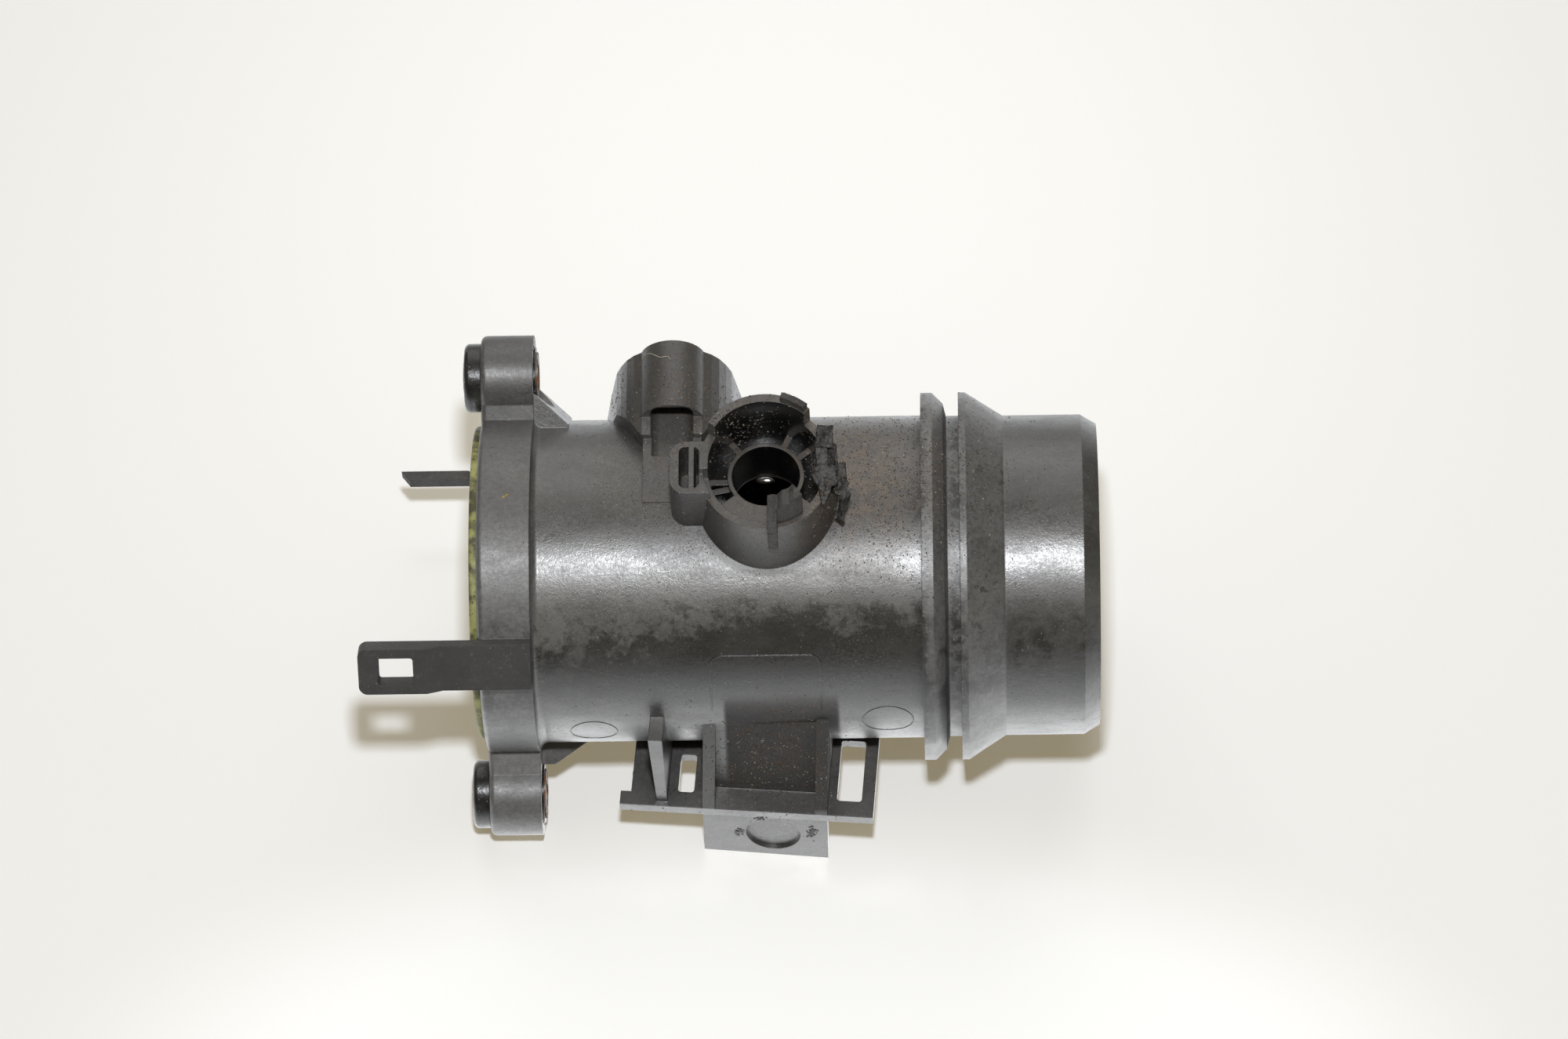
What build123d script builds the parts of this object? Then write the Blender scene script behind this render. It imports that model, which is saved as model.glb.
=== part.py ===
import os
from math import cos, hypot, radians, sin

from build123d import *

os.makedirs("parts", exist_ok=True)

# ---- duct ----
duct_length = 151.9
duct_r = 40.0
duct_wall = 3.4
bore_r = duct_r - duct_wall
inlet_step = 1.6
inlet_bore_r = bore_r - inlet_step
shoulder_step = 1.4
shoulder_r = inlet_bore_r - shoulder_step
spigot_step = 0.3
spigot_r = duct_r - spigot_step
spigot_lead = 2.3
spigot_tip_r = spigot_r - spigot_lead
spigot_chamfer_x = duct_length - 3.9
shoulder_start = 15.0
shoulder_end = 17.0
flare_end = 21.0

# ---- hose rings ----
ring_height = 5.6
ring_r = duct_r + ring_height
groove_r = duct_r - 0.2
ring_1_start = 108.5
ring_1_land_end = 111.3
ring_1_chamfer_end = 114.0
ring_1_chamfer_drop = 2.7
ring_1_chamfer_r = ring_r - ring_1_chamfer_drop
groove_start = 114.8
ring_2_start = 117.8
ring_2_land_end = 119.5
cone_end = 128.7

# ---- flange and ears ----
flange_t = 13.0
flange_step = 2.3
flange_r = duct_r + flange_step
ear_r = 10.4
ear_out = 8.82
ear_angle = 37.05
ear_low_out = 11.04
ear_low_angle = 217.0
ear_neck_w = 17.0
ear_neck_fillet = 5.0
ear_waist_fillet = 6.0
flange_edge_fillet = 1.4
flange_root_fillet = 2.0
rib_t = 3.0
gusset_t = 15.6
gusset_reach = 8.6
rib_reach = 11.7
rib_height = 8.0
rib_top_r = duct_r + rib_height

# ---- seal and its groove ----
seal_groove_w = 2.8
seal_lip_t = 3.2
seal_groove_out_r = flange_r - seal_lip_t
seal_groove_in_r = seal_groove_out_r - seal_groove_w
seal_groove_depth = 3.2
seal_gap = 0.3
seal_stand = 2.0
seal_round = 0.8

# ---- grommets and sleeves ----
grommet_head_r = 8.5
grommet_head_t = 4.2
grommet_head_round = 1.3
grommet_hole_r = 6.4
grommet_neck_r = 6.1
grommet_lip_r = 7.4
grommet_lip_t = 0.5
sleeve_r = 4.3
sleeve_bore_r = 3.3
sleeve_gap = 0.3
sleeve_stand = 0.3
sleeve_collar_r = 6.2
sleeve_collar_t = 0.4

# ---- near snap arm ----
arm_angle = 147.2
arm_tip_x = -29.0
arm_thick_end_x = -12.4
arm_slope_end_x = -8.6
arm_w = 12.4
arm_sink = 0.3
arm_root_t = 2.8
arm_tip_t = 4.4
arm_window_x = -24.2
arm_window_l = 8.6
arm_window_w = 7.4
arm_corner = 2.2

# ---- far prong ----
prong_angle = 31.8
prong_stand = 7.15
prong_w = 2.9
prong_root_w = 1.9
prong_tip_x = -24.0
prong_step_x = -7.0
prong_cut = 2.2
prong_z = -flange_r * sin(radians(prong_angle))
prong_foot_y = flange_r * cos(radians(prong_angle))
prong_y = prong_foot_y + prong_stand

# ---- sensor hump ----
sensor_x = 47.7
pad_stand = 0.6
pad_y = duct_r + pad_stand
hump_front_y = 17.0
hump_front_w = 7.6
hump_side_y = 34.4
hump_side_w = 17.6
hump_profile = [
    (18.2, -26.0),
    (18.2, 6.0),
    (16.4, 19.5),
    (14.2, duct_r - 7.5),
    (13.0, duct_r - 4.4),
    (11.4, duct_r - 1.4),
    (9.6, duct_r + 0.7),
    (7.4, duct_r + 2.3),
]
boss_r = 8.0
boss_z = duct_r - 0.2
boss_front_y = 22.0
arch_w = 10.4
arch_round = 2.6
arch_top_z = boss_z + 6.9
arch_floor_z = boss_z - 1.2
arch_depth = 7.0
arch_front_y = 12.0
rest_stand = 0.4
rest_top_z = duct_r + rest_stand
rest_half_w = 7.2

# ---- sensor opening ----
finger_t = 12.0
finger_w = 20.0
finger_z = 2.0
finger_tip_y = -6.0
slot_gap = 0.3
seal_step_t = 17.6
seal_step_w = 25.6
seal_step_depth = 1.6
sensor_seal_t = 17.0
sensor_seal_w = 25.0
screw_z_top = 31.0
screw_z_low = -19.5
screw_r = 1.9
screw_gap = 0.3
screw_depth = 8.0
screw_head_r = 3.6
screw_head_t = 2.4
screw_slot_w = 1.0
screw_slot_depth = 1.1

# ---- sensor head ----
plate_t = 3.0
plate_half_w = 10.6
plate_low_z = -25.0
plate_top_z = 26.0
plate_ear_r = 6.6
shroud_t = 16.0
shroud_w = 20.0
shroud_stand = 16.4
shroud_y = pad_y + shroud_stand
shroud_wall = 1.8
shroud_floor_y = pad_y + 4.8
pocket_floor = 3.0
pocket_low_y = -3.6
pocket_top_y = pad_y - 6.6
pocket_w = 14.0
cover_t = 1.6
cover_ledge = 1.2
cover_gap = 0.3
window_w = 5.0
window_l = 7.0
board_t = 1.6
board_low_y = 8.0
board_top_y = pocket_top_y - 1.0
board_w = 13.0
film_t = 0.8
film_w = 4.0
film_low_y = -1.5
film_top_y = 12.0
bead_r = 1.4
bead_l = 5.0
pin_t = 0.8
pin_pitch = 2.2
pin_low_y = board_top_y - 4.0
pin_top_y = shroud_y - 3.5
pin_count = 5

# ---- inlet grid ----
grid_x = 9.0
grid_t = 6.0
grid_gap = 0.3
grid_r = inlet_bore_r - grid_gap
grid_rim = 1.6
grid_bar = 1.1
grid_pitch = 6.4
grid_bars = 10
retainer_x = 7.4
retainer_t = 1.6
retainer_w = 2.9
retainer_bite = 0.7
retainer_out_r = inlet_bore_r + retainer_bite
retainer_in_r = retainer_out_r - retainer_w
retainer_groove_r = retainer_out_r + grid_gap
retainer_gap_w = 9.0

# ---- vent port ----
port_x = 71.0
cup_r = 16.0
cup_foot_r = 18.1
cup_foot_z = duct_r - 8.0
cup_in_r = 13.9
cup_height = 12.3
cup_rim_z = duct_r + cup_height
cup_floor_z = duct_r + 1.5
side_rim_z = cup_rim_z + 4.7
back_rim_z = side_rim_z + 5.4
side_rim = (30.0, 186.0, cup_rim_z, side_rim_z)
back_rim = (47.0, 149.0, side_rim_z, back_rim_z)
pipe_r = 9.3
pipe_bore_r = 8.3
pipe_rim_z = cup_rim_z - 1.9
port_rib_t = 1.6
port_rib_z = cup_rim_z - 4.8
front_fill_angle = 52.0
port_ribs = (40.0, 66.0, 128.0, 180.0, 192.0)
front_fill_z = cup_rim_z - 0.9
lug_x = 47.7
lug_half_w = 7.3
lug_z = cup_rim_z + 2.7
lug_round = 4.0
lug_pocket_x = 50.0
lug_pocket_l = 4.9
lug_pocket_w = 11.6
lug_pocket_round = 1.6
lug_rib_t = 1.3

# ---- bracket ----
bracket_x = 64.5
bracket_turn = 4.5
bracket_left = -25.5
bracket_right = 35.0
bracket_stand = 11.8
bracket_front = -(duct_r + bracket_stand)
bracket_back = -(duct_r - 11.5)
bracket_top_z = -25.2
bracket_t = 3.1
foot_left = -28.1
foot_back = bracket_front + 3.7
window_front = bracket_front + 4.3
window_1 = (-13.9, -9.9, window_front, window_front + 10.5)
window_2 = (25.7, 31.9, window_front, window_front + 17.0)
tab_left = -7.4
tab_right = 23.6
tab_t = 3.0
tab_low_z = -45.2
tab_lean = 1.7
tab_low_y = bracket_front - tab_lean
tab_mark_x = 10.0
tab_mark_z = -35.2
tab_mark_r = 6.8
tab_mark_depth = 1.0
cheek_t = 3.0
cheek_top_y = bracket_front + 12.0
cheek_root_y = bracket_front + 18.8
web_low_y = bracket_front + 6.2
web_t = 2.6
fin_top = (-20.2, -16.7)
fin_low = (-18.9, -16.3)
fin_top_z = 2.2
fin_front_top = bracket_front + 3.6
fin_front_low = bracket_front + 1.4

# ---- broken fitting left in the port ----
front_piece_in_r = 10.8
front_piece_out_r = 14.8
front_piece_end = -54.0
front_piece_low_top = cup_rim_z + 7.9
front_piece_rise = 1.6
torn_edge = [
    (-2.3, -1.2),
    (1.1, -0.2),
    (2.4, -0.9),
    (3.6, 0.6),
    (5.2, 0.1),
    (6.4, 1.2),
    (16.0, 1.6),
]
hook_x = 0.6
hook_w = 2.3
hook_y = -18.3
hook_t = 1.3
hook_low_z = cup_rim_z - 5.7
right_piece = [
    (12.0, -9.2),
    (14.2, -11.4),
    (16.8, -6.4),
    (19.4, -2.4),
    (16.8, 0.4),
    (15.8, 3.0),
    (13.2, 1.6),
    (14.0, -3.2),
]
right_piece_t = 2.9
rear_piece_start = 48.5
rear_piece_end = 74.5
rear_piece_t = 2.3

ear_reach = flange_r + ear_out
ear_y = ear_reach * cos(radians(ear_angle))
ear_z = ear_reach * sin(radians(ear_angle))
ear_low_reach = flange_r + ear_low_out
ear_low_y = ear_low_reach * cos(radians(ear_low_angle))
ear_low_z = ear_low_reach * sin(radians(ear_low_angle))
ears = [(ear_y, ear_z), (ear_low_y, ear_low_z)]
arm_in_r = flange_r - arm_sink
fill_reach_x = 9 * cup_r * sin(radians(front_fill_angle))
fill_reach_y = 9 * cup_r * cos(radians(front_fill_angle))
prong_root_y = (prong_y + prong_foot_y - prong_w + prong_root_w) / 2
hook_mid_y = (hook_y - front_piece_in_r) / 2
finger_near_x = sensor_x - finger_t / 2
finger_far_x = sensor_x + finger_t / 2
board_x = finger_near_x + pocket_floor
cover_x = finger_far_x - cover_t
bracket_plane = Plane(
    origin=(bracket_x, 0, 0),
    x_dir=(cos(radians(bracket_turn)), -sin(radians(bracket_turn)), 0),
    z_dir=(0, 0, 1),
)
bracket_side = Plane(
    origin=(bracket_x, 0, 0),
    x_dir=(sin(radians(bracket_turn)), cos(radians(bracket_turn)), 0),
    z_dir=(cos(radians(bracket_turn)), -sin(radians(bracket_turn)), 0),
)
bracket_face = Plane(
    origin=(bracket_x, 0, 0),
    x_dir=(cos(radians(bracket_turn)), -sin(radians(bracket_turn)), 0),
    z_dir=(-sin(radians(bracket_turn)), -cos(radians(bracket_turn)), 0),
)
tab_slope = (tab_low_y - bracket_front) / (tab_low_z - bracket_top_z + bracket_t)
tab_mark_y = bracket_front + tab_slope * (tab_mark_z - bracket_top_z + bracket_t)
tab_face = Plane(
    origin=bracket_plane.from_local_coords((tab_mark_x, tab_mark_y, tab_mark_z)),
    x_dir=bracket_plane.x_dir,
    z_dir=bracket_plane.y_dir * -1 + Vector(0, 0, tab_slope),
)
back_plane = Plane(origin=(sensor_x, pad_y, 0), x_dir=(-1, 0, 0), z_dir=(0, 1, 0))

# The hump narrows from the sensor pad towards its arched front.
hump_block = extrude(
    Plane.XZ.offset(-pad_y)
    * Polygon(
        *[(sensor_x + w, z) for w, z in hump_profile],
        *[(sensor_x - w, z) for w, z in reversed(hump_profile)],
        align=None,
    ),
    amount=pad_y - hump_front_y,
)
hump_plan = extrude(
    Plane.XY.offset(hump_profile[0][1])
    * Polygon(
        (sensor_x - hump_profile[0][0], pad_y),
        (sensor_x - hump_profile[0][0], hump_side_y + 2),
        (sensor_x - hump_side_w, hump_side_y),
        (sensor_x - hump_front_w, hump_front_y),
        (sensor_x + hump_front_w, hump_front_y),
        (sensor_x + hump_side_w, hump_side_y),
        (sensor_x + hump_profile[0][0], hump_side_y + 2),
        (sensor_x + hump_profile[0][0], pad_y),
        align=None,
    ),
    amount=2 * duct_r,
)
hump = hump_block & hump_plan

# The fin tapers and leans as it comes down to the plate.
fin_side = extrude(
    bracket_side.offset(fin_top[0] - rib_t)
    * Polygon(
        (cheek_root_y, fin_top_z),
        (fin_front_top, fin_top_z),
        (fin_front_low, bracket_top_z),
        (bracket_back, bracket_top_z),
        align=None,
    ),
    amount=3 * rib_t,
)
fin_front = extrude(
    bracket_face
    * Polygon(
        (fin_low[0], bracket_top_z),
        (fin_low[1], bracket_top_z),
        (fin_top[1], fin_top_z),
        (fin_top[0], fin_top_z),
        align=None,
    ),
    amount=duct_length / 2,
)
fin = fin_side & fin_front

# One black moulding: duct, flange, rings, hump, port and bracket.
with BuildPart() as duct_housing:
    with BuildSketch(Plane.XY):
        with BuildLine():
            Polyline(
                (0, 0),
                (0, flange_r),
                (flange_t, flange_r),
                (flange_t, duct_r),
                (ring_1_start, duct_r),
                (ring_1_start, ring_r),
                (ring_1_land_end, ring_r),
                (ring_1_chamfer_end, ring_1_chamfer_r),
                (groove_start, groove_r),
                (ring_2_start, groove_r),
                (ring_2_start, ring_r),
                (ring_2_land_end, ring_r),
                (cone_end, spigot_r),
                (spigot_chamfer_x, spigot_r),
                (duct_length, spigot_tip_r),
                (duct_length, 0),
                (0, 0),
            )
        make_face()
    revolve(axis=Axis.X)
    root = [e for e in duct_housing.edges() if abs(e.center().X - flange_t) < 0.01]
    root = [e for e in root if e.length < 6.4 * duct_r]
    fillet(root, radius=flange_root_fillet)
    with BuildSketch(Plane.YZ) as ear_outline:
        Circle(flange_r)
        with Locations(*ears):
            Circle(ear_r)
        with Locations(Location((0, 0, 0), (0, 0, ear_angle))):
            Rectangle(2 * max(ear_reach, ear_low_reach), ear_neck_w)
        necks = [v for v in ear_outline.vertices() if abs(hypot(v.Y, v.Z) - flange_r) < 0.5]
        fillet(necks, radius=ear_neck_fillet)
        waists = [
            v
            for v in ear_outline.vertices()
            if min(hypot(v.Y - y, v.Z - z) for y, z in ears) < ear_r + 0.01
        ]
        fillet(waists, radius=ear_waist_fillet)
    extrude(amount=flange_t)
    rim = [e for e in duct_housing.edges() if abs(e.center().X) < 0.01]
    fillet(rim, radius=flange_edge_fillet)
    # broad gusset behind the upper ear, thin rib behind the lower one
    for side, thickness, reach in ((0, gusset_t, gusset_reach), (180, rib_t, rib_reach)):
        rib_plane = Plane.XY.rotated((ear_angle + side, 0, 0))
        with BuildSketch(rib_plane.offset(-thickness / 2)):
            Polygon(
                (flange_t - 1, duct_r - 2),
                (flange_t - 1, rib_top_r),
                (flange_t, rib_top_r),
                (flange_t + reach, duct_r),
                (flange_t + reach, duct_r - 2),
                align=None,
            )
        extrude(amount=thickness)
    # sensor hump with its screw boss
    add(hump)
    with BuildSketch(Plane.XZ.offset(-pad_y)):
        with Locations((sensor_x, boss_z)):
            Circle(boss_r)
    extrude(amount=pad_y - boss_front_y)
    with Locations((sensor_x, boss_front_y / 2, rest_top_z - boss_r / 2)):
        Box(2 * rest_half_w, boss_front_y + 2, boss_r)
    with BuildSketch(Plane.XZ.offset(-arch_front_y)) as arch:
        with Locations((sensor_x, arch_floor_z)):
            Rectangle(arch_w, arch_top_z - arch_floor_z, align=(Align.CENTER, Align.MIN))
        fillet(arch.vertices().group_by(Axis.Z)[-1], radius=arch_round)
    extrude(amount=-(boss_front_y + arch_depth - arch_front_y), mode=Mode.SUBTRACT)
    # vent port: cup with a tall back, filled front, lug with a pocket
    with BuildSketch(Plane.XZ):
        with BuildLine():
            Polyline(
                (port_x, cup_foot_z),
                (port_x + cup_foot_r, cup_foot_z),
                (port_x + cup_r, cup_rim_z),
                (port_x + cup_in_r, cup_rim_z),
                (port_x + cup_in_r, cup_floor_z),
                (port_x + pipe_r, cup_floor_z),
                (port_x + pipe_r, pipe_rim_z),
                (port_x + pipe_bore_r, pipe_rim_z),
                (port_x + pipe_bore_r, cup_floor_z),
                (port_x, cup_floor_z),
                (port_x, cup_foot_z),
            )
        make_face()
    revolve(axis=Axis((port_x, 0, 0), (0, 0, 1)))
    with BuildSketch(Plane.XY.offset(cup_foot_z)):
        with Locations(((lug_x + port_x) / 2, 0)):
            RectangleRounded(port_x - lug_x, 2 * lug_half_w, lug_round)
        with Locations((port_x, 0)):
            Circle(cup_r - 0.8, mode=Mode.SUBTRACT)
    extrude(amount=cup_floor_z - cup_foot_z)
    for start, end, low_z, high_z in (side_rim, back_rim):
        with BuildSketch(Plane.XY.offset(low_z)):
            with Locations((port_x, 0)):
                Circle(cup_r)
                Circle(cup_in_r, mode=Mode.SUBTRACT)
            Polygon(
                (port_x, 0),
                (port_x + 9 * cup_r * cos(radians(start)), 9 * cup_r * sin(radians(start))),
                (port_x, 9 * cup_r),
                (port_x + 9 * cup_r * cos(radians(end)), 9 * cup_r * sin(radians(end))),
                align=None,
                mode=Mode.INTERSECT,
            )
        extrude(amount=high_z - low_z)
    with BuildSketch(Plane.XY.offset(cup_floor_z)):
        with Locations(((lug_x + port_x) / 2, 0)):
            RectangleRounded(port_x - lug_x, 2 * lug_half_w, lug_round)
        with Locations((port_x, 0)):
            Circle(cup_r - 0.8, mode=Mode.SUBTRACT)
        with Locations((lug_pocket_x + lug_pocket_l / 2, 0)):
            RectangleRounded(lug_pocket_l, lug_pocket_w, lug_pocket_round, mode=Mode.SUBTRACT)
        with Locations((lug_pocket_x + 0.62 * lug_pocket_l, 0)):
            Rectangle(lug_rib_t, lug_pocket_w + lug_rib_t)
    extrude(amount=lug_z - cup_floor_z)
    with BuildSketch(Plane.XY.offset(cup_floor_z)):
        with Locations((port_x, 0)):
            Circle(cup_in_r + 0.5)
            Circle(pipe_r - 0.4, mode=Mode.SUBTRACT)
        Polygon(
            (port_x, 0),
            (port_x - fill_reach_x, -fill_reach_y),
            (port_x, -99 * cup_r),
            (port_x + fill_reach_x, -fill_reach_y),
            align=None,
            mode=Mode.INTERSECT,
        )
    extrude(amount=front_fill_z - cup_floor_z)
    for rib_angle in port_ribs:
        with BuildSketch(Plane.XY.offset(cup_floor_z - 1)):
            with Locations((port_x, 0)):
                with PolarLocations((pipe_r + cup_in_r) / 2, 1, rib_angle):
                    Rectangle(cup_in_r - pipe_r + 1, port_rib_t)
        extrude(amount=port_rib_z - cup_floor_z + 1)
    # near snap arm
    arm_plane = Plane.XY.rotated((arm_angle, 0, 0))
    with BuildSketch(arm_plane.offset(-arm_w / 2)):
        Polygon(
            (arm_tip_x, arm_in_r),
            (arm_tip_x, arm_in_r + arm_tip_t),
            (arm_thick_end_x, arm_in_r + arm_tip_t),
            (arm_slope_end_x, arm_in_r + arm_root_t),
            (flange_t, arm_in_r + arm_root_t),
            (flange_t, arm_in_r - 2),
            (0, arm_in_r - 2),
            (0, arm_in_r),
            align=None,
        )
    extrude(amount=arm_w)
    tip = [e for e in duct_housing.edges() if abs(e.center().X - arm_tip_x) < 0.01 and e.length < arm_w / 2]
    fillet(tip, radius=arm_corner)
    # far prong
    with BuildSketch(Plane.XY.offset(prong_z - prong_w / 2)):
        Polygon(
            (prong_tip_x + prong_cut, prong_y - prong_w / 2),
            (prong_tip_x, prong_y + prong_w / 2),
            (prong_step_x, prong_y + prong_w / 2),
            (prong_step_x + prong_root_w, prong_y - prong_w / 2 + prong_root_w),
            (flange_t, prong_y - prong_w / 2 + prong_root_w),
            (flange_t, prong_y - prong_w / 2),
            align=None,
        )
    extrude(amount=prong_w)
    with Locations((flange_t / 2 + 1, prong_root_y, prong_z)):
        Box(flange_t - 2, prong_y - prong_foot_y, prong_w)
    # bracket
    with BuildSketch(bracket_plane.offset(bracket_top_z - bracket_t)):
        Polygon(
            (bracket_left, bracket_back),
            (bracket_left, foot_back),
            (foot_left, foot_back),
            (foot_left, bracket_front),
            (bracket_right, bracket_front),
            (bracket_right, bracket_back),
            align=None,
        )
        for x0, x1, y0, y1 in (window_1, window_2):
            with Locations(((x0 + x1) / 2, (y0 + y1) / 2)):
                RectangleRounded(x1 - x0, y1 - y0, 0.8, mode=Mode.SUBTRACT)
    extrude(amount=bracket_t)
    with BuildSketch(bracket_side.offset(tab_left)):
        Polygon(
            (bracket_front, bracket_top_z - bracket_t),
            (tab_low_y, tab_low_z),
            (tab_low_y + tab_t, tab_low_z),
            (bracket_front + tab_t, bracket_top_z - bracket_t),
            align=None,
        )
    extrude(amount=tab_right - tab_left)
    with BuildSketch(tab_face):
        Circle(tab_mark_r)
    extrude(amount=-tab_mark_depth, mode=Mode.SUBTRACT)
    for cheek_x in (tab_left, tab_right - cheek_t):
        with BuildSketch(bracket_side.offset(cheek_x)):
            Polygon(
                (cheek_root_y, 0),
                (cheek_top_y, 0),
                (bracket_front, bracket_top_z),
                (bracket_back, bracket_top_z),
                align=None,
            )
        extrude(amount=cheek_t)
    with BuildSketch(bracket_side.offset(tab_left)):
        Polygon(
            (cheek_root_y, -1.5),
            (cheek_top_y, -1.5),
            (web_low_y, bracket_top_z),
            (web_low_y + web_t, bracket_top_z),
            align=None,
        )
    extrude(amount=tab_right - tab_left)
    add(fin)
    # duct bore, inlet seat and grooves
    with BuildSketch(Plane.XY):
        with BuildLine():
            Polyline(
                (-1, 0),
                (-1, inlet_bore_r),
                (retainer_x, inlet_bore_r),
                (retainer_x, retainer_groove_r),
                (grid_x, retainer_groove_r),
                (grid_x, inlet_bore_r),
                (shoulder_start, inlet_bore_r),
                (shoulder_start, shoulder_r),
                (shoulder_end, shoulder_r),
                (flare_end, bore_r),
                (duct_length + 1, bore_r),
                (duct_length + 1, 0),
                (-1, 0),
            )
        make_face()
    revolve(axis=Axis.X, mode=Mode.SUBTRACT)
    with BuildSketch(Plane.YZ):
        Circle(seal_groove_out_r)
        Circle(seal_groove_in_r, mode=Mode.SUBTRACT)
    extrude(amount=seal_groove_depth, mode=Mode.SUBTRACT)
    with BuildSketch(Plane.YZ.offset(-1)):
        with Locations(*ears):
            Circle(grommet_hole_r)
    extrude(amount=flange_t + 2, mode=Mode.SUBTRACT)
    with BuildSketch(Plane.YZ.offset(flange_t)):
        with Locations(*ears):
            Circle(grommet_lip_r + seal_gap)
    extrude(amount=rib_reach, mode=Mode.SUBTRACT)
    with BuildSketch(Plane.XY):
        with Locations((port_x, 0)):
            Circle(pipe_bore_r)
    extrude(amount=pipe_rim_z, mode=Mode.SUBTRACT)
    # window of the near snap arm
    with BuildSketch(Plane.XY.rotated((arm_angle - 90, 0, 0)).offset(arm_in_r - 2)):
        with Locations((arm_window_x + arm_window_l / 2, 0)):
            RectangleRounded(arm_window_l, arm_window_w, 0.7)
    extrude(amount=arm_tip_t + 6, mode=Mode.SUBTRACT)
    # sensor opening, seal step and screw holes
    with BuildSketch(back_plane):
        with Locations((0, finger_z)):
            Rectangle(finger_t + 2 * slot_gap, finger_w + 2 * slot_gap)
    extrude(amount=-duct_r, mode=Mode.SUBTRACT)
    with BuildSketch(back_plane):
        with Locations((0, finger_z)):
            Rectangle(seal_step_t, seal_step_w)
    extrude(amount=-seal_step_depth, mode=Mode.SUBTRACT)
    with BuildSketch(back_plane):
        with Locations((0, screw_z_top), (0, screw_z_low)):
            Circle(screw_r + screw_gap)
    extrude(amount=-screw_depth - 1, mode=Mode.SUBTRACT)
duct_housing.part.label = "duct_housing"
export_step(duct_housing.part, "parts/duct_housing.step")

# Olive-green face seal in the flange groove.
with BuildPart() as flange_seal:
    with BuildSketch(Plane.YZ.offset(-seal_stand)):
        Circle(seal_groove_out_r - seal_gap)
        Circle(seal_groove_in_r + seal_gap, mode=Mode.SUBTRACT)
    extrude(amount=seal_stand + seal_groove_depth)
    nose = [e for e in flange_seal.edges() if abs(e.center().X + seal_stand) < 0.01]
    fillet(nose, radius=seal_round)
flange_seal.part.label = "flange_seal"
export_step(flange_seal.part, "parts/flange_seal.step")

# Rubber bush through the upper ear.
with BuildPart() as upper_grommet:
    with BuildSketch(Plane.YZ.offset(-grommet_head_t)):
        with Locations((ear_y, ear_z)):
            Circle(grommet_head_r)
    extrude(amount=grommet_head_t)
    nose = [e for e in upper_grommet.edges() if abs(e.center().X + grommet_head_t) < 0.01]
    fillet(nose, radius=grommet_head_round)
    with BuildSketch(Plane.YZ):
        with Locations((ear_y, ear_z)):
            Circle(grommet_neck_r)
    extrude(amount=flange_t)
    with BuildSketch(Plane.YZ.offset(flange_t)):
        with Locations((ear_y, ear_z)):
            Circle(grommet_lip_r)
    extrude(amount=grommet_lip_t)
    with BuildSketch(Plane.YZ.offset(-grommet_head_t)):
        with Locations((ear_y, ear_z)):
            Circle(sleeve_r + sleeve_gap)
    extrude(amount=flange_t + grommet_head_t + grommet_lip_t, mode=Mode.SUBTRACT)
upper_grommet.part.label = "upper_grommet"
export_step(upper_grommet.part, "parts/upper_grommet.step")

# Rubber bush through the lower ear.
with BuildPart() as lower_grommet:
    with BuildSketch(Plane.YZ.offset(-grommet_head_t)):
        with Locations((ear_low_y, ear_low_z)):
            Circle(grommet_head_r)
    extrude(amount=grommet_head_t)
    nose = [e for e in lower_grommet.edges() if abs(e.center().X + grommet_head_t) < 0.01]
    fillet(nose, radius=grommet_head_round)
    with BuildSketch(Plane.YZ):
        with Locations((ear_low_y, ear_low_z)):
            Circle(grommet_neck_r)
    extrude(amount=flange_t)
    with BuildSketch(Plane.YZ.offset(flange_t)):
        with Locations((ear_low_y, ear_low_z)):
            Circle(grommet_lip_r)
    extrude(amount=grommet_lip_t)
    with BuildSketch(Plane.YZ.offset(-grommet_head_t)):
        with Locations((ear_low_y, ear_low_z)):
            Circle(sleeve_r + sleeve_gap)
    extrude(amount=flange_t + grommet_head_t + grommet_lip_t, mode=Mode.SUBTRACT)
lower_grommet.part.label = "lower_grommet"
export_step(lower_grommet.part, "parts/lower_grommet.step")

# Steel sleeve of the upper bush, collar on the duct side.
with BuildPart() as upper_sleeve:
    with BuildSketch(Plane.YZ.offset(-grommet_head_t - sleeve_stand)):
        with Locations((ear_y, ear_z)):
            Circle(sleeve_r)
    extrude(amount=grommet_head_t + sleeve_stand + flange_t + grommet_lip_t + sleeve_collar_t)
    with BuildSketch(Plane.YZ.offset(flange_t + grommet_lip_t)):
        with Locations((ear_y, ear_z)):
            Circle(sleeve_collar_r)
    extrude(amount=sleeve_collar_t)
    with BuildSketch(Plane.YZ.offset(-grommet_head_t - sleeve_stand)):
        with Locations((ear_y, ear_z)):
            Circle(sleeve_bore_r)
    extrude(amount=flange_t + 3 * grommet_head_t, mode=Mode.SUBTRACT)
upper_sleeve.part.label = "upper_sleeve"
export_step(upper_sleeve.part, "parts/upper_sleeve.step")

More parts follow.
